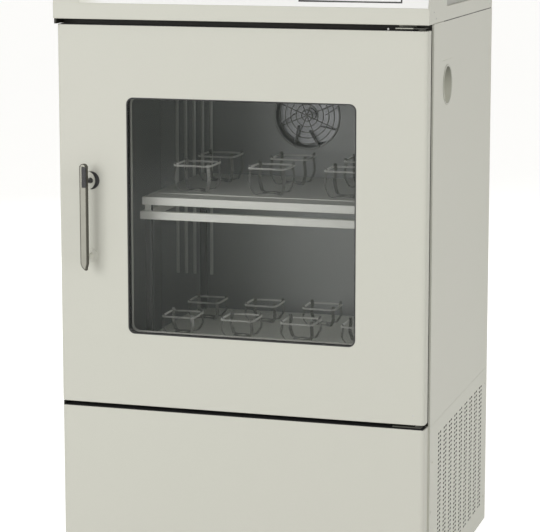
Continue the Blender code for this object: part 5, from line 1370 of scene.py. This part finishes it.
def makeClamps(node, columns, rows, pitchX, pitchY, radius, height):
    clamp = {
        "sheet": 0.0015, "trayRadius": 0.008, "hole": 0.010, "fingers": 4, "strip": 0.009, "metal": 0.0014,
        "coil": 0.0021, "wire": 0.0007, "turnPitch": 0.0027, "sides": 6, "square": 8,
    }
    low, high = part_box(node)
    centre = middleOf(node, 0, 1)
    top = low.z + clamp["sheet"]
    half = (pitchX * (columns - 1) / 2, pitchY * (rows - 1) / 2)
    spots = [(centre[0] - half[0] + i * pitchX, centre[1] - half[1] + j * pitchY, top)
             for i in range(columns) for j in range(rows)]
    outline = roundedRect((low.x, low.y), (high.x, high.y), clamp["trayRadius"])
    tray = newPiece(node.replace("_tray", "Tray"), addPrism, outline, "Z", low.z, top)
    hole = newPiece("model", addRod, clamp["hole"], "Z", (0, 0), -past, past, 24)
    cut(tray, grown("holes", spotTree, hole, "deckSteel", spots=spots), solver="MANIFOLD")
    dress(tray, "deckSteel", "platform", node)
    # four fingers bent up from a washer
    fingers = bmesh.new()
    line = [(0.30, 0.0008), (0.70, 0.0008), (0.82, 0.006), (0.99, height * 0.45), (0.93, height * 0.90),
            (0.93, height + 0.002), (0.99, height + 0.008)]
    stations = [(p.x, p.y) for p in smoothPath([(radius * a, b, 0) for a, b in line], 4)]
    for i in range(clamp["fingers"]):
        turn = math.radians(45 + 360 / clamp["fingers"] * i)
        addStrip(fingers, stations, clamp["strip"], clamp["metal"], turn)
    addBands(fingers, (radius * 0.20, radius * 0.36), [0.0002], 0.0022, "Z", (0, 0), 32)
    made = grown(node + "Fingers", spotTree, rawPiece("model", fingers), "springSteel", spots=spots)
    dress(made, "springSteel", "platform")
    # a coiled wire round the fingers, nearly straight from one to the next
    side = (radius * 0.93 + clamp["metal"] / 2 + clamp["coil"]) * 0.771
    steps = int(8 * side / clamp["turnPitch"]) * clamp["sides"]
    power = clamp["square"]
    points = []
    for k in range(steps + 1):
        along, around = 2 * math.pi * k / steps, 2 * math.pi * k / clamp["sides"]
        ring = side * (math.cos(along) ** power + math.sin(along) ** power) ** (-1 / power)
        reach = ring + clamp["coil"] * math.cos(around)
        rise = clamp["coil"] * math.sin(around)
        points.append((reach * math.cos(along), reach * math.sin(along), height + rise))
    model = newPiece("model", addPipe, points, clamp["wire"], 4)
    made = grown(node + "Springs", spotTree, model, "springBright", spots=spots)
    dress(made, "springBright", "platform", angle=80)


def makePlatform():
    deck = {
        "holePitch": 0.050, "holeMargin": 0.06, "hole": 0.003, "edge": 0.0012, "rail": 0.056, "bolt": 0.014,
    }
    pitch = deck["holePitch"]
    for node, name in (("lower_deck", "lowerDeck"), ("upper_deck", "upperDeck")):
        low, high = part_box(node)
        piece = softEdges(copyOfNode(name, node), deck["edge"], 3)
        columns, rows = [int((high[i] - low[i] - deck["holeMargin"]) / pitch) + 1 for i in (0, 1)]
        hole = newPiece("model", addRod, deck["hole"], "Z", (0, 0), -0.012, past, 12)
        place = (*middleOf(node, 0, 1), high.z)
        cut(piece, grown("holes", gridTree, hole, "deckSteel", inRows(columns, rows, pitch, pitch, place)))
        dress(piece, "deckSteel", "platform", node)
    refined("platform_frame", "platformFrame", "platformAlloy", 0.0015, 3)
    rack = refined("upper_rack", "upperRack", "deckSteel", 0.0012, 3)
    low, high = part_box("upper_rack")
    repaint(rack, "rackDark", lambda face: face.center.z < high.z - deck["rail"])
    makeClamps("lower_clamp_tray", 4, 2, 0.156, 0.200, 0.057, 0.046)
    makeClamps("upper_clamp_tray", 3, 2, 0.195, 0.190, 0.0646, 0.067)
    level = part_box("upper_deck")[1].z
    spots = [(x, y, level) for x, y in fourCorners(low, high, deck["bolt"])]
    fasteners("deckBolts", spots, "up", 0.0035, 0.003, "platform", hexBolt)
    print("platform ready")


# Orbital drive under the platform
def makeDrive():
    drive = {
        "shaft": 0.008, "disc": 0.026, "discThick": 0.008, "soft": 0.0006, "pin": 0.006, "pinStart": 0.004,
        "orbit": 0.013, "ribs": 12, "ribStart": 0.014, "ribPitch": 0.006, "rib": (0.046, 0.0497),
        "ribThick": 0.0025, "boltInset": 0.02, "boltRise": 0.008,
    }
    refined("drive_plate", "drivePlate", "castIron", 0.0012)
    refined("main_crank", "mainCrank", "groundSteel", 0.0006)
    for i in (1, 2, 3):
        node = f"support_crank_{i}"
        low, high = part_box(node)
        x, y, disc = jointAt[f"support_spin_{i}"]
        shaft, wide, soft, pin = drive["shaft"], drive["disc"], drive["soft"], drive["pin"]
        top = disc + drive["discThick"]
        profile = [(0, low.z), (shaft - 0.0005, low.z), (shaft, low.z + 0.0005), (shaft, disc),
                   (wide - 0.0005, disc), (wide, disc + soft), (wide, top - soft), (wide - 0.0008, top),
                   (0, top)]
        crank = newPiece(f"supportCrank{i}", addLathe, profile, "Z", (x, y))
        start = disc + drive["pinStart"]
        profile = [(0, start), (pin, start), (pin, high.z - 0.0008), (pin - 0.0008, high.z), (0, high.z)]
        join(crank, addLathe, profile, "Z", (x + drive["orbit"], y))
        dress(crank, "groundSteel", node, node)
    refined("motor_pulley", "motorPulley", "groundSteel", 0.0004)
    refined("drive_belt", "driveBelt", "blackRubber", 0.0005)
    refined("drive_motor", "driveMotor", "motorEnamel", 0.0010)
    low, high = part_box("drive_plate")
    spots = [(x, y, low.z + drive["boltRise"]) for x, y in fourCorners(low, high, drive["boltInset"])]
    fasteners("plateBolts", spots, "up", 0.005, 0.005, make=hexBolt)
    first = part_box("drive_motor")[0].z + drive["ribStart"]
    heights = [first + i * drive["ribPitch"] for i in range(drive["ribs"])]
    centre = jointAt["motor_spin"][:2]
    ribs = newPiece("motorRibs", addBands, drive["rib"], heights, drive["ribThick"], "Z", centre)
    dress(ribs, "motorEnamel", "cabinet")
    print("drive ready")


# Refrigeration, inlet and switch
def makeCompressor():
    can = {
        "radius": 0.075, "floor": 0.010, "footRound": 0.022, "domeRound": 0.045, "bead": 0.0025,
        "foot": 0.013, "footRadius": 0.014, "edge": 0.0015, "bolt": 0.010, "beadLow": (0.098, 0.100),
        "beadHigh": (0.106, 0.108), "boxIn": 0.6, "boxOut": 0.004, "boxHalf": 0.022, "boxLow": 0.045,
        "boxTop": 0.095,
    }
    low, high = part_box("compressor")
    centre = middleOf("compressor", 0, 1)
    radius, floor, top, foot = can["radius"], low.z, high.z, can["footRound"]
    profile = [(0, floor + can["floor"]), (radius * 0.72, floor + can["floor"])]
    profile += arcPoints((radius - foot, floor + can["floor"] + foot), foot, -80, 0, 8)
    wide, (first, second), (third, last) = radius + can["bead"], can["beadLow"], can["beadHigh"]
    profile += [(radius, floor + first), (wide, floor + second), (wide, floor + third),
                (radius, floor + last)]
    profile += arcPoints((radius - can["domeRound"], top - can["domeRound"]), can["domeRound"], 0, 84, 10)
    body = newPiece("compressorCan", addLathe, profile + [(0, top)], "Z", centre, 64)
    outline = roundedRect((low.x, low.y), (high.x, high.y), can["footRadius"])
    join(body, addPrism, outline, "Z", floor, floor + can["foot"])
    # the box over its terminals
    half = can["boxHalf"]
    join(body, addBox, (centre[0] + radius * can["boxIn"], centre[1] - half, floor + can["boxLow"]),
         (high.x + can["boxOut"], centre[1] + half, floor + can["boxTop"]))
    softEdges(body, can["edge"])
    dress(body, "compressorBlack", "cabinet", "compressor", angle=40)
    spots = [(x, y, floor + can["foot"]) for x, y in fourCorners(low, high, can["bolt"])]
    fasteners("compressorBolts", spots, "up", 0.005, 0.005, make=hexBolt)
    return (*centre, top)


def makeCondenser():
    fan = {
        "hub": 0.022, "hubRound": 0.004, "blades": 5, "steps": 8, "start": 0.019, "end": 0.0985,
        "spread": 26, "spreadMore": 10, "pitch": 0.0055, "sweep": 14, "half": 0.0009, "middle": 0.009,
    }
    refined("condenser", "condenserShroud", "condenserFins", 0.0006)
    low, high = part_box("condenser_fan")
    centre = middleOf("condenser_fan", 0, 2)
    soft = fan["hubRound"]
    edge = fan["hub"] - soft
    profile = [(0, low.y), (edge, low.y)] + arcPoints((edge, low.y + soft), soft, -90, 0, 4)
    hub = shape(addLathe, profile + [(fan["hub"], high.y), (0, high.y)], "Y", centre, 40)
    bmesh.ops.remove_doubles(hub, verts=hub.verts[:], dist=1e-6)
    bmesh.ops.recalc_face_normals(hub, faces=hub.faces[:])
    piece = rawPiece("condenserFan", hub)
    blades = bmesh.new()
    for i in range(fan["blades"]):
        rings = []
        for k in range(fan["steps"] + 1):
            share = k / fan["steps"]
            radius = fan["start"] + share * (fan["end"] - fan["start"])
            spread = math.radians(fan["spread"] + fan["spreadMore"] * share)
            pitch = fan["pitch"] * (1 - 0.35 * share)
            aim = math.radians(360 / fan["blades"] * i) + share * math.radians(fan["sweep"])
            ring = []
            for a, thick in ((-1, -fan["half"]), (-1, fan["half"]), (1, fan["half"]), (1, -fan["half"])):
                angle = aim + a * spread / 2
                spot = (centre[0] + radius * math.cos(angle), low.y + fan["middle"] + a * pitch + thick,
                        centre[1] + radius * math.sin(angle))
                ring.append(blades.verts.new(spot))
            rings.append(ring)
        addSkin(blades, rings)
    bmesh.ops.recalc_face_normals(blades, faces=blades.faces[:])
    join(piece, blades, solver="MANIFOLD")
    dress(piece, "blackPlastic", "condenser_fan", "condenser_fan")


def makeCoolantPipes(start):
    # start is the top of the compressor's dome
    x, y, z = start
    low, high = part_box("condenser")
    side, upper, lower = low.x, high.z - 0.03, low.z + 0.03
    routes = (
        (0.0035, [(x + 0.02, y + 0.03, z - 0.012), (x + 0.03, y + 0.05, z + 0.02),
                  (x + 0.10, y + 0.09, z + 0.02), (x + 0.22, 0.320, z + 0.010),
                  (side - 0.03, 0.335, upper), (side + 0.004, 0.335, upper)]),
        (0.0045, [(x - 0.02, y + 0.03, z - 0.012), (x - 0.02, y + 0.06, z + 0.03),
                  (x - 0.03, y + 0.10, z + 0.10), (x - 0.03, y + 0.10, 0.470)]),
        (0.0027, [(side + 0.004, 0.335, lower), (side - 0.03, 0.335, lower),
                  (side - 0.08, 0.330, lower + 0.02), (side - 0.10, 0.330, 0.300),
                  (side - 0.10, 0.330, 0.470)]),
    )
    pipes = bmesh.new()
    for radius, route in routes:
        addPipe(pipes, smoothPath(route, 8), radius)
    dress(rawPiece("coolantPipes", pipes), "copper", "cabinet", angle=60)


def makeInlet():
    refined("power_inlet", "mainsInlet", "blackPlastic", 0.0005)
    refined("power_switch", "rockerSwitch", "blackPlastic", 0.0004)
    screw = {"inset": 0.0035, "rise": 0.007, "sunk": 0.0004}
    low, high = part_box("power_inlet")
    spots = [(x, high.y - screw["sunk"], low.z + screw["rise"])
             for x in (low.x + screw["inset"], high.x - screw["inset"])]
    fasteners("inletScrews", spots, "back", 0.0018, 0.0009)
    print("refrigeration ready")


# Casters
def makeCaster(corner):
    wheel = {"crown": 0.009, "crownTurn": 1.25, "soft": 0.001, "hub": 0.0105, "bore": 0.0044}
    race = {"top": 0.0002, "radius": 0.0255, "soft": 0.001, "thick": 0.0056, "edge": 0.0042, "foot": 0.0238}
    x, y, z = jointAt["roll_" + corner]
    low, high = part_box("caster_wheel_" + corner)
    radius, half = (high.z - low.z) / 2, (high.x - low.x) / 2
    crown, turn, width = wheel["crown"], wheel["crownTurn"], half - wheel["soft"]
    curve = [(radius - crown + crown * math.cos(t), x + width * math.sin(t) / math.sin(turn))
             for t in (turn * (k / 6 - 1) for k in range(13))]
    profile = [(radius * 0.66, x - width)] + curve + [(radius * 0.66, x + width)]
    tread = newPiece("tread_" + corner, addLathe, profile, "X", (y, z), 64)
    dress(tread, "wheelRubber", "wheel_" + corner, "caster_wheel_" + corner, angle=50)
    rim = radius * 0.665
    profile = [(wheel["bore"], -1), (wheel["hub"], -1), (wheel["hub"], -0.45), (rim * 0.82, -0.35),
               (rim * 0.90, -0.86), (rim, -0.86)]
    profile += [(reach, -share) for reach, share in profile[::-1]]
    core = newPiece("hub_" + corner, addLathe, [(a, x + half * share) for a, share in profile], "X", (y, z))
    dress(core, "gripPlastic", "wheel_" + corner, angle=40)
    node, body = "caster_fork_" + corner, "caster_" + corner
    fork = softEdges(copyOfNode("fork_" + corner, node), 0.0006)
    low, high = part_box(node)
    wide, top, floor = race["radius"], high.z - race["top"], high.z - race["thick"]
    profile = [(0, top), (wide - race["soft"], top), (wide, top - race["soft"]),
               (wide, high.z - race["edge"]), (race["foot"], floor), (0, floor)]
    join(fork, addLathe, profile, "Z", jointAt["swivel_" + corner][:2], 48)
    dress(fork, "zincPlate", body, node)
    for side, towards in ((high.x, "right"), (low.x, "left")):
        fasteners(f"axleNut_{corner}_{towards}", [(side, y, z)], towards, 0.0055, 0.0012, body,
                  hexBolt, "zincPlate")


def makeCasters():
    for row in ("front", "rear"):
        for side in ("left", "right"):
            makeCaster(f"{row}_{side}")
    print("casters ready")


def makeFilters():
    # a dark dust filter behind each vent panel, near black as painted shade seen through the slots
    pad = {"sheet": 0.002, "gap": 0.0004, "thick": 0.003, "margin": 0.022, "end": 0.030}
    for side, name in ((1, "right"), (-1, "left")):
        low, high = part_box("vent_panel_" + name)
        face = max(abs(low.x), abs(high.x)) - pad["sheet"] - pad["gap"]
        x0, x1 = mirrored(side, face, face - pad["thick"])
        block("filter_" + name, (x0, low.y + pad["end"], low.z + pad["margin"]),
              (x1, high.y - pad["end"], high.z - pad["margin"]), "shadowBlack")


makeDoor()
makeDoorInner()
makeHandle()
makeLowerPanel()
makeCasing()
makeRearCover()
makeVentPanels()
makeRearPanel()
makeGrips()
makeHead()
makeControls()
makeHinges()
makeFrameParts()
makeLiner()
makeBaffle()
makeAir()
makePlatform()
makeDrive()
compressorTop = makeCompressor()
makeCondenser()
makeCoolantPipes(compressorTop)
makeInlet()
makeCasters()
makeFilters()
